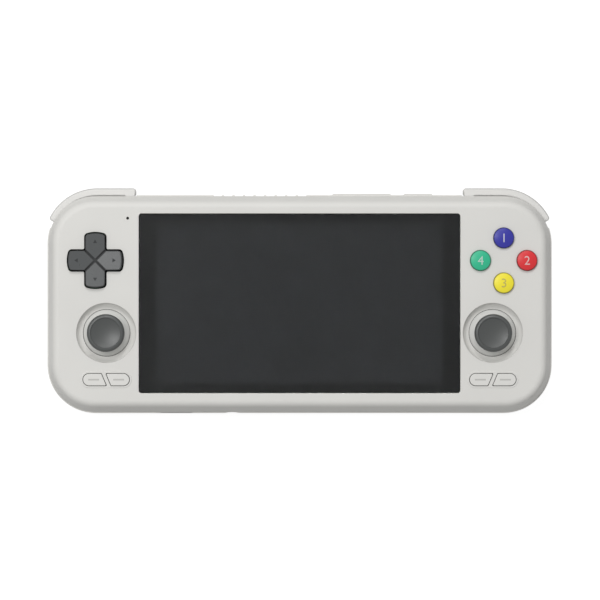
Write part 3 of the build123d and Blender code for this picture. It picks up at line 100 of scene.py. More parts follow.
def surround_seen(tree):
    """1 where the surround is looked at, straight or through gloss or glass, and 0 elsewhere."""
    rays = node(tree, "ShaderNodeLightPath")
    glossy = node(tree, "ShaderNodeMath", {0: rays.outputs["Is Camera Ray"],
                                           1: rays.outputs["Is Glossy Ray"]}, operation="MAXIMUM")
    seen = node(tree, "ShaderNodeMath", {0: glossy.outputs[0],
                                         1: rays.outputs["Is Transmission Ray"]},
                operation="MAXIMUM")
    return seen.outputs[0]


surround_light = 0.40
world = bpy.data.worlds.new("even_surround")
world.use_nodes = True
scene.world = world
tree = world.node_tree
tree.nodes.clear()
lit = node(tree, "ShaderNodeBackground", {"Color": hex_linear("ffffff"),
                                          "Strength": surround_light})
white = node(tree, "ShaderNodeBackground", {"Color": hex_linear("ffffff"), "Strength": 1.0})
either = node(tree, "ShaderNodeMixShader", {0: surround_seen(tree), 1: lit.outputs[0],
                                            2: white.outputs[0]})
node(tree, "ShaderNodeOutputWorld", {"Surface": either.outputs[0]})


# The paper: a matt sheet. It glows only where it is looked at, so that it photographs as pure
# white round the shadow without throwing more light on the console.
def blank_material(name):
    """A new material and its node tree, emptied."""
    material = bpy.data.materials.new(name)
    material.use_nodes = True
    material.node_tree.nodes.clear()
    return material, material.node_tree


paper_glow = 0.9
paper, tree = blank_material("white_paper_sweep")
lift = node(tree, "ShaderNodeMath", {0: surround_seen(tree), 1: paper_glow}, operation="MULTIPLY")
matt = node(tree, "ShaderNodeBsdfDiffuse", {"Color": hex_linear("90908f")})
glow = node(tree, "ShaderNodeEmission", {"Color": hex_linear("ffffff"),
                                         "Strength": lift.outputs[0]})
both = node(tree, "ShaderNodeAddShader", {0: matt.outputs[0], 1: glow.outputs[0]})
node(tree, "ShaderNodeOutputMaterial", {"Surface": both.outputs[0]})


# The paper's window: an opening under the flat of the console's back, so that the back can be
# seen from below. The sheet starts there and runs out to 3 m on every side.
corners_round = ((-1, -1), (1, -1), (1, 1), (-1, 1))


def rounded_loop(half, corner, steps):
    """Corner points of a rectangle with rounded corners, going round from the lower left."""
    loop = []
    for turn, (sx, sy) in enumerate(corners_round):
        for i in range(steps + 1):
            angle = math.pi * (1 + (turn + i / steps) / 2)
            loop.append((sx * (half[0] - corner) + corner * math.cos(angle),
                         sy * (half[1] - corner) + corner * math.sin(angle)))
    return loop


def mesh_piece(name, points, faces, material, body):
    """Adds a mesh, its points in metres in the console's frame, that rides on a body if any."""
    mesh = bpy.data.meshes.new(name)
    mesh.from_pydata(points, [], faces)
    mesh.materials.append(material)
    piece = bpy.data.objects.new(name, mesh)
    scene.collection.objects.link(piece)
    if body:
        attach(piece, body)
    return piece


_, high = (Vector(v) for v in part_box("rear_cover"))
back_rounding = 4.5 * MM
window_corner = 13.3 * MM
window_steps = 8
window = rounded_loop((high.x - back_rounding, high.y - back_rounding), window_corner,
                      window_steps)
paper_top = -0.02 * MM
paper_reach = 3.0
points = [(x, y, paper_top) for x, y in window]
points += [(x * paper_reach / math.hypot(x, y), y * paper_reach / math.hypot(x, y), paper_top)
           for x, y in window]
count = len(window)
faces = [(i, count + i, count + (i + 1) % count, (i + 1) % count) for i in range(count)]
sweep = mesh_piece("paper_floor", points, faces, paper, None)


# The case: two shells of moulded ABS with a fine spark-eroded texture, screwed together from
# the back. The texture breaks up the gloss; its grain of about 0.1 mm is drawn at 0.3 mm, or
# it wouldn't show.
def dress(names, material):
    """Gives CAD nodes a material in every slot."""
    for name in names:
        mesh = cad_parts[name].data
        if not mesh.materials:
            mesh.materials.append(material)
        for i in range(len(mesh.materials)):
            mesh.materials[i] = material


resin_flow = 18 * MM
gloss_spread = 0.07


def moulded_abs(name, colour, roughness=0.5, grain_mm=0.3, depth_mm=0.008, mottle=0.03,
                sheen=0.3):
    """Moulded ABS: a slightly uneven tint from the resin flow, and a fine texture in the gloss."""
    material, tree = blank_material(name)
    place = node(tree, "ShaderNodeTexCoord")
    flow = node(tree, "ShaderNodeTexNoise", {"Vector": place.outputs["Object"],
                                             "Scale": 1 / resin_flow, "Detail": 2.0})
    grain = node(tree, "ShaderNodeTexNoise", {"Vector": place.outputs["Object"],
                                              "Scale": 1 / (grain_mm * MM), "Detail": 3.0})
    tone = hex_linear(colour)
    low = [c * (1 - mottle) for c in tone[:3]] + [1.0]
    high = [min(1.0, c * (1 + mottle)) for c in tone[:3]] + [1.0]
    tint = node(tree, "ShaderNodeMix", {0: flow.outputs["Fac"], 6: low, 7: high}, data_type="RGBA")
    gloss = node(tree, "ShaderNodeMapRange", {0: grain.outputs["Fac"], 3: roughness - gloss_spread,
                                              4: roughness + gloss_spread})
    bump = node(tree, "ShaderNodeBump", {"Height": grain.outputs["Fac"], "Strength": 0.35,
                                         "Distance": depth_mm * MM})
    skin = node(tree, "ShaderNodeBsdfPrincipled", {"Base Color": tint.outputs[2],
                                                   "Roughness": gloss.outputs[0],
                                                   "IOR": 1.53, "Specular IOR Level": sheen,
                                                   "Normal": bump.outputs[0]})
    node(tree, "ShaderNodeOutputMaterial", {"Surface": skin.outputs[0]})
    return material


warm_grey_abs = moulded_abs("warm_grey_textured_abs", "e0dfdb")
dress(["front_shell", "rear_cover"], warm_grey_abs)


# Shoulder controls: bumpers and triggers of the same resin from a polished mould, which leaves
# only a faint wave of 0.8 mm, so they look a shade lighter and glossier than the case. The
# bumpers' outer rounding and inner end carry painted shade, a darker grey that draws a fine
# line round them.
def measured(tree, middle):
    """Distances along X and Y from a point, and along Z, as sockets to build a mask from."""
    place = node(tree, "ShaderNodeTexCoord")
    centred = node(tree, "ShaderNodeMapping", {"Vector": place.outputs["Object"],
                                               "Location": (-middle.x, -middle.y, 0)})
    split = node(tree, "ShaderNodeSeparateXYZ", {0: centred.outputs[0]})
    return [split.outputs[i] for i in range(3)]


def straight_distance(tree, x, y):
    """Distance in a straight line, from the distances along X and Y."""
    flat = node(tree, "ShaderNodeCombineXYZ", {0: x, 1: y}).outputs[0]
    return node(tree, "ShaderNodeVectorMath", {0: flat}, operation="LENGTH").outputs["Value"]


def paint_shade(material, mask, colour, roughness=None):
    """Paints shade, a darker colour and a matter gloss, into a material where the mask is 1."""
    tree = material.node_tree
    skin = next(n for n in tree.nodes if n.type == "BSDF_PRINCIPLED")
    plain_tone = skin.inputs["Base Color"].links[0].from_socket
    tone = node(tree, "ShaderNodeMix", {0: mask, 6: plain_tone, 7: colour}, data_type="RGBA")
    tree.links.new(tone.outputs[2], skin.inputs["Base Color"])
    if roughness:
        plain_gloss = skin.inputs["Roughness"].links[0].from_socket
        gloss = node(tree, "ShaderNodeMix", {0: mask, 2: plain_gloss, 3: roughness},
                     data_type="FLOAT")
        tree.links.new(gloss.outputs[0], skin.inputs["Roughness"])


pale_grey = "e3e2df"
polish = {"roughness": 0.36, "grain_mm": 0.8, "depth_mm": 0.003}
polished_abs = moulded_abs("pale_polished_abs", pale_grey, **polish)
dress(["left_trigger", "right_trigger"], polished_abs)

low, high = (Vector(v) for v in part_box("right_bumper"))
bumper_straight = 14.2 * MM
bumper_bend = 19.6 * MM
rounding_starts, rounding_full = 0.6 * MM, 0.1 * MM
bumper_abs = moulded_abs("pale_bumper_abs", pale_grey, **polish)
tree = bumper_abs.node_tree
x, y, _ = measured(tree, Vector((0, high.y - bumper_bend, 0)))
x_out = node(tree, "ShaderNodeMath", {0: x}, operation="ABSOLUTE").outputs[0]
past = node(tree, "ShaderNodeMath", {0: x_out, 1: low.x + bumper_straight}, operation="SUBTRACT")
bent = node(tree, "ShaderNodeMath", {0: past.outputs[0], 1: 0.0}, operation="MAXIMUM").outputs[0]
rim = node(tree, "ShaderNodeMapRange", {0: straight_distance(tree, bent, y),
                                        1: bumper_bend - rounding_starts,
                                        2: bumper_bend - rounding_full, 3: 0.0, 4: 1.0})
end = node(tree, "ShaderNodeMapRange", {0: x_out, 1: low.x + rounding_full,
                                        2: low.x + rounding_starts, 3: 1.0, 4: 0.0})
edge = node(tree, "ShaderNodeMath", {0: rim.outputs[0], 1: end.outputs[0]}, operation="MAXIMUM")
# Painted shade: the bumpers' outer rounding and inner end are painted a darker grey.
paint_shade(bumper_abs, edge.outputs[0], hex_linear("bdbcb9"))
dress(["left_bumper", "right_bumper"], bumper_abs)

# Edge keys: the volume rocker and the power button are moulded in the case resin, smooth, with a
# faint wave of 0.6 mm from the mould instead of the texture.
smooth_mould = {"roughness": 0.42, "grain_mm": 0.6, "depth_mm": 0.004}
key_abs = moulded_abs("warm_grey_smooth_abs", "e2e1dd", **smooth_mould)
dress(["volume_rocker", "power_button"], key_abs)

# Function keys: pale smooth ABS, with painted shade on the rounded edge just below the top, a
# darker grey that draws the shaded gap line round each key. A short plain bar is pad printed a
# shade darker.
_, high = (Vector(v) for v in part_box("home_button"))
edge_shade_starts, edge_shade_full = 0.10 * MM, 0.04 * MM
edge_shaded_key_abs = moulded_abs("pale_key_abs_edge_shade", "e2e1dd", **smooth_mould)
tree = edge_shaded_key_abs.node_tree
_, _, z = measured(tree, Vector((0, 0, 0)))
key_edge_shade = node(tree, "ShaderNodeMapRange", {0: z, 1: high.z - edge_shade_starts, 2: high.z - edge_shade_full,
                                         3: 1.0, 4: 0.0})
# Painted shade: each key's rounded edge, just below its top, is painted a dark grey.
paint_shade(edge_shaded_key_abs, key_edge_shade.outputs[0], hex_linear("82817e"))
dress(["home_button", "back_button", "select_button", "start_button"], edge_shaded_key_abs)

bar_ink = moulded_abs("grey_key_print", "c4c3bf", roughness=0.55, mottle=0.0)
bar_half = (2.0 * MM, 0.3 * MM)
bar_shift = 0.4 * MM
bar_top, bar_root = 0.015 * MM, -0.05 * MM
bar_faces = [(0, 1, 2, 3), (7, 6, 5, 4), (0, 4, 5, 1), (1, 5, 6, 2), (2, 6, 7, 3), (3, 7, 4, 0)]
for name, side in (("home_button", -1), ("back_button", 1), ("select_button", -1),
                   ("start_button", 1)):
    low, high = (Vector(v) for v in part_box(name))
    x0 = (low.x + high.x) / 2 + side * bar_shift
    y0 = (low.y + high.y) / 2
    points = [(x0 + sx * bar_half[0], y0 + sy * bar_half[1], high.z + dz)
              for dz in (bar_top, bar_root) for sx, sy in corners_round]
    mesh_piece(name + "_bar", points, bar_faces, bar_ink, name)

# Screen: a sheet of toughened glass with a fine etch against glare, which blurs what it mirrors,
# and a black border printed on its underside. The dark display panel is bonded on behind it with
# clear glue, so neither the ink nor the panel has a gloss of its own.
glass, tree = blank_material("toughened_cover_glass")
sheet = node(tree, "ShaderNodeBsdfPrincipled", {"Base Color": hex_linear("f4f7f6"),
                                                "Roughness": 0.28, "IOR": 1.2,
                                                "Transmission Weight": 1.0})
node(tree, "ShaderNodeOutputMaterial", {"Surface": sheet.outputs[0]})
dress(["screen_glass"], glass)

panel_cloud = 30 * MM


def bonded_dark(name, colour):
    """A dark layer glued to the back of the glass: plain diffuse colour, no surface gloss."""
    material, tree = blank_material(name)
    place = node(tree, "ShaderNodeTexCoord")
    cell = node(tree, "ShaderNodeTexNoise", {"Vector": place.outputs["Object"],
                                             "Scale": 1 / panel_cloud})
    tone = hex_linear(colour)
    low = [c * 0.92 for c in tone[:3]] + [1.0]
    tint = node(tree, "ShaderNodeMix", {0: cell.outputs["Fac"], 6: low, 7: tone}, data_type="RGBA")
    layer = node(tree, "ShaderNodeBsdfPrincipled", {"Base Color": tint.outputs[2],
                                                    "Roughness": 0.8, "Specular IOR Level": 0.0})
    node(tree, "ShaderNodeOutputMaterial", {"Surface": layer.outputs[0]})
    return material


def ring_faces(count):
    """Faces of a closed ring of four loops: front outer and inner, then back outer and inner."""
    faces = []
    for i in range(count):
        j = (i + 1) % count
        faces += [(i, j, count + j, count + i),
                  (2 * count + j, 2 * count + i, 3 * count + i, 3 * count + j),
                  (i, 2 * count + i, 2 * count + j, j),
                  (count + j, 3 * count + j, 3 * count + i, count + i)]
    return faces


ink = bonded_dark("black_screen_ink", "181819")
low, high = (Vector(v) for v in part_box("screen_glass"))
middle = (low + high) / 2
ink_edge = 0.08 * MM
ink_corner = 1.0 * MM
ink_gap = 0.006 * MM
ink_thickness = 0.006 * MM
corner_steps = 6
ink_half = ((high.x - low.x) / 2 - ink_edge, (high.y - low.y) / 2 - ink_edge)
lit_half = (52.0 * MM, 29.25 * MM)
outside = rounded_loop(ink_half, ink_corner, corner_steps)
inside = rounded_loop(lit_half, ink_corner / 5, corner_steps)
points = [(middle.x + x, middle.y + y, z)
          for z in (low.z - ink_gap, low.z - ink_gap - ink_thickness)
          for loop in (outside, inside) for x, y in loop]
border = mesh_piece("screen_ink_border", points, ring_faces(len(outside)), ink, "console")

panel = bonded_dark("dark_display_panel", "29292b")
dress(["display_panel"], panel)

# Cross pad: one dark grey ABS moulding with its arms divided by a crossed groove. The groove
# and the rounded edges are matter and carry painted shade, a near-black. Small plain
# triangles are pad printed on the arms.
low, high = (Vector(v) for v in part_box("dpad"))
pad_middle = (low + high) / 2
pad_top = high.z
pad_half = (high.x - low.x) / 2
pad_dip = 0.9 * MM
arm_half = 3.5 * MM
groove_reach = 0.62 * MM
groove_fade = 0.2 * MM
side_starts, side_full = 0.45 * MM, 0.1 * MM
tip_starts, tip_full = 0.7 * MM, 0.15 * MM
edge_strength = 0.8

dark_abs = moulded_abs("dark_grey_textured_abs", "3b3e3f", roughness=0.3, sheen=0.65)
tree = dark_abs.node_tree
x, y, _ = measured(tree, pad_middle)
x_out = node(tree, "ShaderNodeMath", {0: x}, operation="ABSOLUTE").outputs[0]
y_out = node(tree, "ShaderNodeMath", {0: y}, operation="ABSOLUTE").outputs[0]
apart = node(tree, "ShaderNodeMath", {0: x_out, 1: y_out}, operation="SUBTRACT").outputs[0]
aside = node(tree, "ShaderNodeMath", {0: apart}, operation="ABSOLUTE").outputs[0]
groove = node(tree, "ShaderNodeMapRange", {0: aside,
                                           1: (groove_reach - groove_fade) * math.sqrt(2),
                                           2: groove_reach * math.sqrt(2), 3: 1.0, 4: 0.0})
nearer = node(tree, "ShaderNodeMath", {0: x_out, 1: y_out}, operation="MINIMUM").outputs[0]
side_edge = node(tree, "ShaderNodeMapRange", {0: nearer, 1: arm_half - side_starts,
                                              2: arm_half - side_full, 3: 0.0, 4: edge_strength})
tip_edge = node(tree, "ShaderNodeMapRange", {0: straight_distance(tree, x, y),
                                             1: pad_half - tip_starts, 2: pad_half - tip_full,
                                             3: 0.0, 4: edge_strength})
edge = node(tree, "ShaderNodeMath", {0: side_edge.outputs[0], 1: tip_edge.outputs[0]},
            operation="MAXIMUM")
matt = node(tree, "ShaderNodeMath", {0: groove.outputs[0], 1: edge.outputs[0]},
            operation="MAXIMUM")
# Painted shade: the groove and the rounded edges are painted near-black and made matter.
paint_shade(dark_abs, matt.outputs[0], hex_linear("17191a"), roughness=0.75)
dress(["dpad"], dark_abs)


def pad_height(x, y):
    """Height of the pad's dished top at a place measured from its middle."""
    return pad_top - pad_dip + pad_dip * max(abs(x), abs(y)) / pad_half


mark_ink = moulded_abs("dark_pad_print", "2e3031", roughness=0.6, mottle=0.0)
mark_reach = 6.9 * MM
mark_size = 1.5 * MM
mark_tip = mark_reach + 0.45 * mark_size
mark_foot = mark_reach - 0.4 * mark_size
mark_top, mark_root = 0.03 * MM, -0.05 * MM
points, faces = [], []
for turn in range(4):
    angle = turn * math.pi / 2
    along = Vector((math.cos(angle), math.sin(angle)))
    across = Vector((-along.y, along.x))
    corners = [along * mark_tip, along * mark_foot + across * mark_size / 2,
               along * mark_foot - across * mark_size / 2]
    base = len(points)
    for lift in (mark_top, mark_root):
        points += [(pad_middle.x + c.x, pad_middle.y + c.y, pad_height(c.x, c.y) + lift)
                   for c in corners]
    faces += [(base, base + 1, base + 2), (base + 5, base + 4, base + 3)]
    faces += [(base + i, base + 3 + i, base + 3 + (i + 1) % 3, base + (i + 1) % 3)
              for i in range(3)]
marks = mesh_piece("dpad_marks", points, faces, mark_ink, "dpad")

# Face buttons: domed caps of solid-coloured, polished ABS, with painted shade round the rim,
# a deeper tone of the cap's colour. Each is printed with a plain numeral that follows the dome.
button_radius = 3.75 * MM
button_crown = 0.6 * MM
button_wave = 6 * MM
rim_starts, rim_full = 0.45 * MM, 0.1 * MM
rim_shade = 0.42


def polished_cap(name, colour, centre):
    """Polished coloured ABS: a slight wave in the gloss from the mould, and painted rim shade."""
    material, tree = blank_material(name)
    place = node(tree, "ShaderNodeTexCoord")
    flow = node(tree, "ShaderNodeTexNoise", {"Vector": place.outputs["Object"],
                                             "Scale": 1 / button_wave, "Detail": 2.0})
    tone = hex_linear(colour)
    low = [c * 0.95 for c in tone[:3]] + [1.0]
    tint = node(tree, "ShaderNodeMix", {0: flow.outputs["Fac"], 6: low, 7: tone}, data_type="RGBA")
    bump = node(tree, "ShaderNodeBump", {"Height": flow.outputs["Fac"], "Strength": 0.2,
                                         "Distance": 0.01 * MM})
    cap = node(tree, "ShaderNodeBsdfPrincipled", {"Base Color": tint.outputs[2],
                                                  "Roughness": 0.36, "IOR": 1.53,
                                                  "Specular IOR Level": 0.35,
                                                  "Normal": bump.outputs[0]})
    node(tree, "ShaderNodeOutputMaterial", {"Surface": cap.outputs[0]})
    x, y, _ = measured(tree, centre)
    rim = node(tree, "ShaderNodeMapRange", {0: straight_distance(tree, x, y),
                                            1: button_radius - rim_starts,
                                            2: button_radius - rim_full, 3: 0.0, 4: 1.0})
    # Painted shade: the rim is painted in a deeper tone of the cap's colour.
    paint_shade(material, rim.outputs[0], [c * rim_shade for c in tone[:3]] + [1.0])
    return material


dome_radius = (button_radius ** 2 + button_crown ** 2) / (2 * button_crown)
numeral_height = 3.3 * MM
font_share = 0.72
print_lift = 0.04 * MM
strip_width = 0.3 * MM
strips = 9


def numeral(digit, name, material):
    """A printed numeral, cut into short strips and laid on the dome of its button."""
    low, high = (Vector(v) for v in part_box(name))
    centre = (low + high) / 2
    text = bpy.data.curves.new(name + "_numeral", "FONT")
    text.body = digit
    text.align_x = "CENTER"
    text.align_y = "CENTER"
    text.size = numeral_height / font_share
    text.resolution_u = 6
    written = bpy.data.objects.new(name + "_text", text)
    scene.collection.objects.link(written)
    ready = written.evaluated_get(bpy.context.evaluated_depsgraph_get())
    flat = bpy.data.meshes.new_from_object(ready)
    bpy.data.objects.remove(written)
    shape = bmesh.new()
    shape.from_mesh(flat)
    xs = [v.co.x for v in shape.verts]
    ys = [v.co.y for v in shape.verts]
    shift = Vector(((max(xs) + min(xs)) / 2, (max(ys) + min(ys)) / 2, 0))
    for v in shape.verts:
        v.co -= shift
    for axis in range(2):
        for i in range(-strips, strips + 1):
            point = Vector((0, 0, 0))
            way = Vector((0, 0, 0))
            point[axis] = i * strip_width
            way[axis] = 1.0
            bmesh.ops.bisect_plane(shape, geom=shape.verts[:] + shape.edges[:] + shape.faces[:],
                                   plane_co=point, plane_no=way, dist=1e-7)
    for v in shape.verts:
        drop = dome_radius - math.sqrt(dome_radius ** 2 - v.co.x ** 2 - v.co.y ** 2)
        v.co = Vector((centre.x + v.co.x, centre.y + v.co.y, high.z - drop + print_lift))
    shape.normal_update()
    if sum(f.normal.z for f in shape.faces) < 0:
        bmesh.ops.reverse_faces(shape, faces=shape.faces[:])
    shape.to_mesh(flat)
    shape.free()
    flat.materials.clear()
    flat.materials.append(material)
    piece = bpy.data.objects.new(name + "_numeral", flat)
    scene.collection.objects.link(piece)
    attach(piece, name)
    return piece


for digit, name, cap_colour, print_colour, slot in (
    ("1", "top_face_button", "3334a1", "c3c2d6", "blue_plastic"),
    ("2", "right_face_button", "e03237", "e3bab8", "red_plastic"),
    ("3", "bottom_face_button", "fced3c", "c3b965", "yellow_plastic"),
    ("4", "left_face_button", "33be91", "b9d3c8", "green_plastic"),
):
    low, high = (Vector(v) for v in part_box(name))
    dress([name], polished_cap(name + "_polished_abs", cap_colour, (low + high) / 2))
    printed = moulded_abs(name + "_print", print_colour, roughness=0.5, mottle=0.0)
    numeral(digit, name, printed)

# Thumbsticks: a rubber-skinned cap on a steel shaft, with a domed ABS skirt that hides the
# gimbal. The rubber is moulded matt with a very fine grain, drawn at 0.35 mm so that it shows.
# The skirt is moulded smooth, with a faint wave of 0.8 mm.
stick_rubber = moulded_abs("dark_moulded_rubber", "363938", roughness=0.4, grain_mm=0.35,
                           depth_mm=0.008, sheen=0.65)
skirt_abs = moulded_abs("pale_skirt_abs", "d9d9d6", roughness=0.32, grain_mm=0.8, depth_mm=0.003)
dress(["left_stick_cap", "right_stick_cap"], stick_rubber)
dress(["left_stick_skirt", "right_stick_skirt"], skirt_abs)


# Shade rings: a thin black ring under the lip of each stick's dish is painted shade that draws
# a dark line round the skirt. It lies just below the dish's floor, which is at 13.55 mm, and
# just clear of the skirt.
def circle(x0, y0, radius, sides):
    """Points of a circle, going round from its right."""
    return [(x0 + radius * math.cos(2 * math.pi * i / sides),
             y0 + radius * math.sin(2 * math.pi * i / sides)) for i in range(sides)]


# Painted shade: a black ring stands in for the shade in the gap round each skirt.
gap_shade_black = moulded_abs("black_gap_shade_ring", "161617", roughness=0.8, mottle=0.0)
shade_ring_outer, shade_ring_inner = 8.73 * MM, 8.53 * MM
shade_ring_top, shade_ring_bottom = 13.42 * MM, 13.36 * MM
shade_ring_sides = 120
for side in ("left", "right"):
    low, high = (Vector(v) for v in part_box(side + "_stick_skirt"))
    middle = (low + high) / 2
    points = [(x, y, z) for z in (shade_ring_top, shade_ring_bottom) for radius in (shade_ring_outer, shade_ring_inner)
              for x, y in circle(middle.x, middle.y, radius, shade_ring_sides)]
    ring = mesh_piece(side + "_gap_shade_ring", points, ring_faces(shade_ring_sides), gap_shade_black, "console")


# Gimbals and hinge pins: shafts, yokes and pins of drawn steel, bright with fine lines along
# them, in housings and hubs of black moulded nylon.
def worked_metal(name, colour, roughness, line_mm, metallic=1.0):
    """Metal with fine drawn or turned lines that stretch its gloss."""
    stretch = 12
    material, tree = blank_material(name)
    place = node(tree, "ShaderNodeTexCoord")
    squeeze = node(tree, "ShaderNodeMapping", {"Vector": place.outputs["Object"],
                                               "Scale": (1.0, stretch, 1.0)})
    lines = node(tree, "ShaderNodeTexNoise", {"Vector": squeeze.outputs[0],
                                              "Scale": 1 / (line_mm * MM) / stretch,
                                              "Detail": 4.0})
    gloss = node(tree, "ShaderNodeMapRange", {0: lines.outputs["Fac"], 3: roughness - 0.08,
                                              4: roughness + 0.1})
    bump = node(tree, "ShaderNodeBump", {"Height": lines.outputs["Fac"], "Strength": 0.3,
                                         "Distance": 0.01 * MM})
    metal = node(tree, "ShaderNodeBsdfPrincipled", {"Base Color": hex_linear(colour),
                                                    "Metallic": metallic,
                                                    "Roughness": gloss.outputs[0],
                                                    "Normal": bump.outputs[0]})
    node(tree, "ShaderNodeOutputMaterial", {"Surface": metal.outputs[0]})
    return material


drawn_steel = worked_metal("drawn_steel", "b9bab9", roughness=0.3, line_mm=0.2)
dress(["left_stick_shaft", "right_stick_shaft", "left_stick_yoke", "right_stick_yoke",
       "left_bumper_pin", "right_bumper_pin", "left_trigger_pin", "right_trigger_pin"],
      drawn_steel)
black_nylon = moulded_abs("black_moulded_nylon", "1b1b1c", roughness=0.5)
dress(["left_stick_housing", "right_stick_housing", "left_stick_hub", "right_stick_hub"],
      black_nylon)

# Pivot ball of the cross pad: turned from brass rod, which leaves fine lines and a warm gloss.
turned_brass = worked_metal("turned_brass", "c9a25a", roughness=0.28, line_mm=0.1)
dress(["dpad_pivot_ball"], turned_brass)

# Screws: the case is held from the back by screws of blackened steel in sunk holes, the boards
# by small bright ones. The black oxide takes some of the metal's shine away.
black_oxide = worked_metal("black_oxide_steel", "2a2a2c", roughness=0.42, line_mm=0.15,
                           metallic=0.8)
dress(["rear_screws"], black_oxide)
dress(["board_screws"], drawn_steel)

# Rubber sheets under the keys: dark grey silicone with low domes, whose dark tint is partly
# painted shade that darkens the gaps round the keys. Its tint is cloudy over about 4 mm from
# the moulding.
rubber_cloud = 4 * MM
# Painted shade, in part: the silicone's dark tint stands in for the shade in the key gaps.
silicone, tree = blank_material("dark_silicone_and_gap_shade")
place = node(tree, "ShaderNodeTexCoord")
cloud = node(tree, "ShaderNodeTexNoise", {"Vector": place.outputs["Object"],
                                          "Scale": 1 / rubber_cloud})
tint = node(tree, "ShaderNodeMix", {0: cloud.outputs["Fac"], 6: hex_linear("333536"),
                                    7: hex_linear("3e4041")}, data_type="RGBA")
skin = node(tree, "ShaderNodeBsdfPrincipled", {"Base Color": tint.outputs[2], "Roughness": 0.45,
                                               "IOR": 1.41})
node(tree, "ShaderNodeOutputMaterial", {"Surface": skin.outputs[0]})
dress(["dpad_membrane", "face_button_membrane", "left_key_membrane", "right_key_membrane"],
      silicone)

# Circuit boards: green solder mask over glass fibre, with the copper traces showing faintly
# through it about 4 mm apart.
trace_spacing = 4 * MM
board, tree = blank_material("green_solder_mask")
place = node(tree, "ShaderNodeTexCoord")
traces = node(tree, "ShaderNodeTexBrick", {"Vector": place.outputs["Object"],
                                           "Scale": 1 / trace_spacing,
                                           "Color1": hex_linear("1f5a3c"),
                                           "Color2": hex_linear("1b5036"),
                                           "Mortar": hex_linear("2f7a4e"), "Mortar Size": 0.03})
mask = node(tree, "ShaderNodeBsdfPrincipled", {"Base Color": traces.outputs["Color"],
                                               "Roughness": 0.3, "IOR": 1.52})
node(tree, "ShaderNodeOutputMaterial", {"Surface": mask.outputs[0]})
dress(["main_board", "left_control_board", "right_control_board", "port_board", "side_key_board"],
      board)

# Shield can, charging port and card socket: pressed from tinned steel sheet, dull silver with
# faint rolling lines.
tinned_steel = worked_metal("tinned_steel_sheet", "c8c8c4", roughness=0.34, line_mm=0.3)
dress(["shield_can", "charging_port", "card_socket"], tinned_steel)


# Speaker cloth: a fine woven mesh of black polyester, glued across the front of each speaker
# behind the slots, that keeps dust out. Its threads of 0.05 mm are drawn at 0.14 mm.
def bar_row(name, material):
    """Geometry nodes for a row of equal blocks: where it starts, the step, the count, the size."""
    tree = bpy.data.node_groups.new(name, "GeometryNodeTree")
    for title, kind in (("Count", "NodeSocketInt"), ("Start", "NodeSocketVector"),
                        ("Step", "NodeSocketVector"), ("Size", "NodeSocketVector")):
        tree.interface.new_socket(title, in_out="INPUT", socket_type=kind)
    tree.interface.new_socket("Geometry", in_out="OUTPUT", socket_type="NodeSocketGeometry")
    given = node(tree, "NodeGroupInput")
    row = node(tree, "GeometryNodeMeshLine", {"Count": given.outputs["Count"],
                                              "Start Location": given.outputs["Start"],
                                              "Offset": given.outputs["Step"]}, mode="OFFSET")
    block = node(tree, "GeometryNodeMeshCube", {"Size": given.outputs["Size"]})
    placed = node(tree, "GeometryNodeInstanceOnPoints", {"Points": row.outputs["Mesh"],
                                                         "Instance": block.outputs["Mesh"]})
    real = node(tree, "GeometryNodeRealizeInstances", {"Geometry": placed.outputs["Instances"]})
    dressed = node(tree, "GeometryNodeSetMaterial", {"Geometry": real.outputs["Geometry"],
                                                     "Material": material})
    node(tree, "NodeGroupOutput", {"Geometry": dressed.outputs["Geometry"]})
    return tree


def grown(name, tree, body, **values):
    """Runs a node tree on an empty mesh and keeps its result as a plain mesh that rides a body."""
    seed = bpy.data.objects.new(name + "_seed", bpy.data.meshes.new(name + "_seed"))
    scene.collection.objects.link(seed)
    modifier = seed.modifiers.new("grow", "NODES")
    modifier.node_group = tree
    for item in tree.interface.items_tree:
        if item.in_out == "INPUT" and item.name in values:
            modifier[item.identifier] = values[item.name]
    ready = seed.evaluated_get(bpy.context.evaluated_depsgraph_get())
    mesh = bpy.data.meshes.new_from_object(ready)
    mesh.name = name
    seed.modifiers.remove(modifier)
    bpy.data.objects.remove(seed)
    piece = bpy.data.objects.new(name, mesh)
    scene.collection.objects.link(piece)
    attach(piece, body)
    return piece


cloth = moulded_abs("black_polyester_thread", "151516", roughness=0.7, mottle=0.0)
thread = 0.14 * MM
thread_step = 0.42 * MM
cloth_half_x, cloth_half_z = 7.4 * MM, 1.75 * MM
cloth_gap = 0.12 * MM
threads = bar_row("cloth_threads", cloth)
for side in ("left", "right"):
    low, high = (Vector(v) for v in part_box(side + "_speaker"))
    middle = (low + high) / 2
    cloth_y = low.y - cloth_gap
    grown(side + "_cloth_warp", threads, "console",
                  Count=int(2 * cloth_half_x / thread_step) + 1,
                  Start=(middle.x - cloth_half_x, cloth_y, middle.z), Step=(thread_step, 0, 0),
                  Size=(thread, thread, 2 * cloth_half_z))
    grown(side + "_cloth_weft", threads, "console",
                  Count=int(2 * cloth_half_z / thread_step) + 1,
                  Start=(middle.x, cloth_y - thread / 2, middle.z - cloth_half_z),
                  Step=(0, 0, thread_step),
                  Size=(2 * cloth_half_x, thread, thread))

# Charging port contacts: fingers of gold plated copper on both faces of the tongue, twelve to a
# face, 0.5 mm apart.
copper_gold = worked_metal("gold_plated_contact", "d9b45c", roughness=0.25, line_mm=0.1)
low, high = (Vector(v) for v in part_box("charging_port"))
middle = (low + high) / 2
tongue_front = low.y + 1.0 * MM
tongue_half = 0.35 * MM
finger = (0.26 * MM, 2.6 * MM, 0.03 * MM)
finger_count = 12
finger_step = 0.5 * MM
finger_depth = 1.7 * MM
finger_lift = 0.01 * MM
fingers = bar_row("contact_fingers", copper_gold)
for name, way in (("upper_contacts", 1), ("lower_contacts", -1)):
    grown(name, fingers, "console", Count=finger_count,
                  Start=(middle.x - (finger_count - 1) / 2 * finger_step,
                         tongue_front + finger_depth,
                         middle.z + way * (tongue_half + finger_lift)),
                  Step=(finger_step, 0, 0), Size=finger)

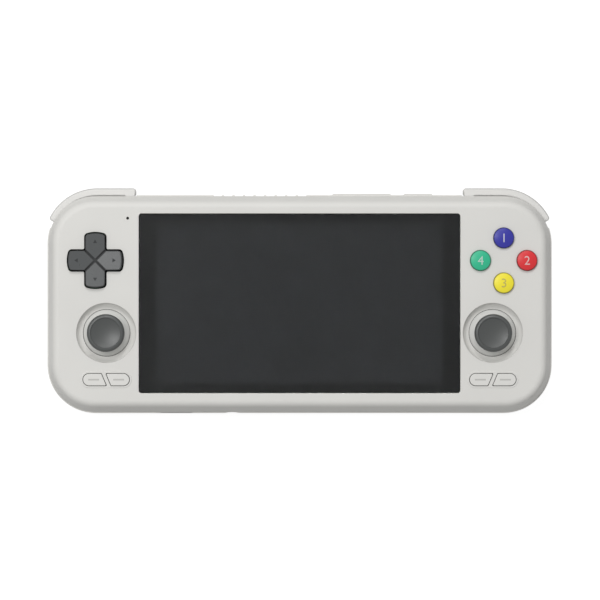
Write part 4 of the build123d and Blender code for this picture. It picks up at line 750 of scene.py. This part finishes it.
# Headphone jack collar: a nickel plated brass ring pressed into the mouth of the plastic barrel,
# with a smooth, slightly yellow shine.
nickel = worked_metal("nickel_plated_brass", "c6c3bb", roughness=0.22, line_mm=0.1)
low, high = (Vector(v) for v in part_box("headphone_jack"))
collar_x = (low.x + high.x) / 2
collar_z = 5.5 * MM
collar_outer, collar_bore = 2.55 * MM, 1.86 * MM
collar_front, collar_back = low.y - 0.06 * MM, low.y + 0.05 * MM
collar_sides = 48
points = [(x, y, z) for y in (collar_front, collar_back) for radius in (collar_outer, collar_bore)
          for x, z in circle(collar_x, collar_z, radius, collar_sides)]
mesh_piece("jack_collar", points, ring_faces(collar_sides), nickel, "console")

# Small parts on the main board: rows of brown ceramic capacitors and resistors, 1.0 mm by 0.5 mm,
# beside the shield can, soldered flat on the board.
ceramic = moulded_abs("brown_ceramic_capacitor", "8a6b4c", roughness=0.4, grain_mm=0.5)
_, high = (Vector(v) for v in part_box("main_board"))
board_top = 8.4 * MM
part_size = (1.0 * MM, 0.5 * MM, 0.45 * MM)
part_middle = 0.24 * MM
part_step = 2.4 * MM
part_count = 9
first_part_x = 21.0 * MM
first_row_inset = 8.0 * MM
row_step = 3.4 * MM
rows = 6
small_parts = bar_row("small_parts", ceramic)
for row in range(rows):
    grown("small_parts_row" + str(row + 1), small_parts, "console", Count=part_count,
                  Start=(first_part_x, high.y - first_row_inset - row_step * row,
                         board_top + part_middle),
                  Step=(part_step, 0, 0), Size=part_size)

# Fan, speakers and headphone jack: black moulded nylon. The heat sink is of folded aluminium
# sheet, left bare, with faint rolling lines.
dress(["fan_housing", "fan_rotor", "left_speaker", "right_speaker", "headphone_jack"],
      black_nylon)
fin_aluminium = worked_metal("folded_aluminium", "c2c4c6", roughness=0.36, line_mm=0.25)
dress(["heat_sink"], fin_aluminium)

# Battery: a pouch cell in grey laminated foil, whose plastic skin dulls the metal and crinkles
# over about 2 mm.
foil = worked_metal("laminated_pouch_foil", "85888c", roughness=0.5, line_mm=2.0, metallic=0.6)
dress(["battery"], foil)
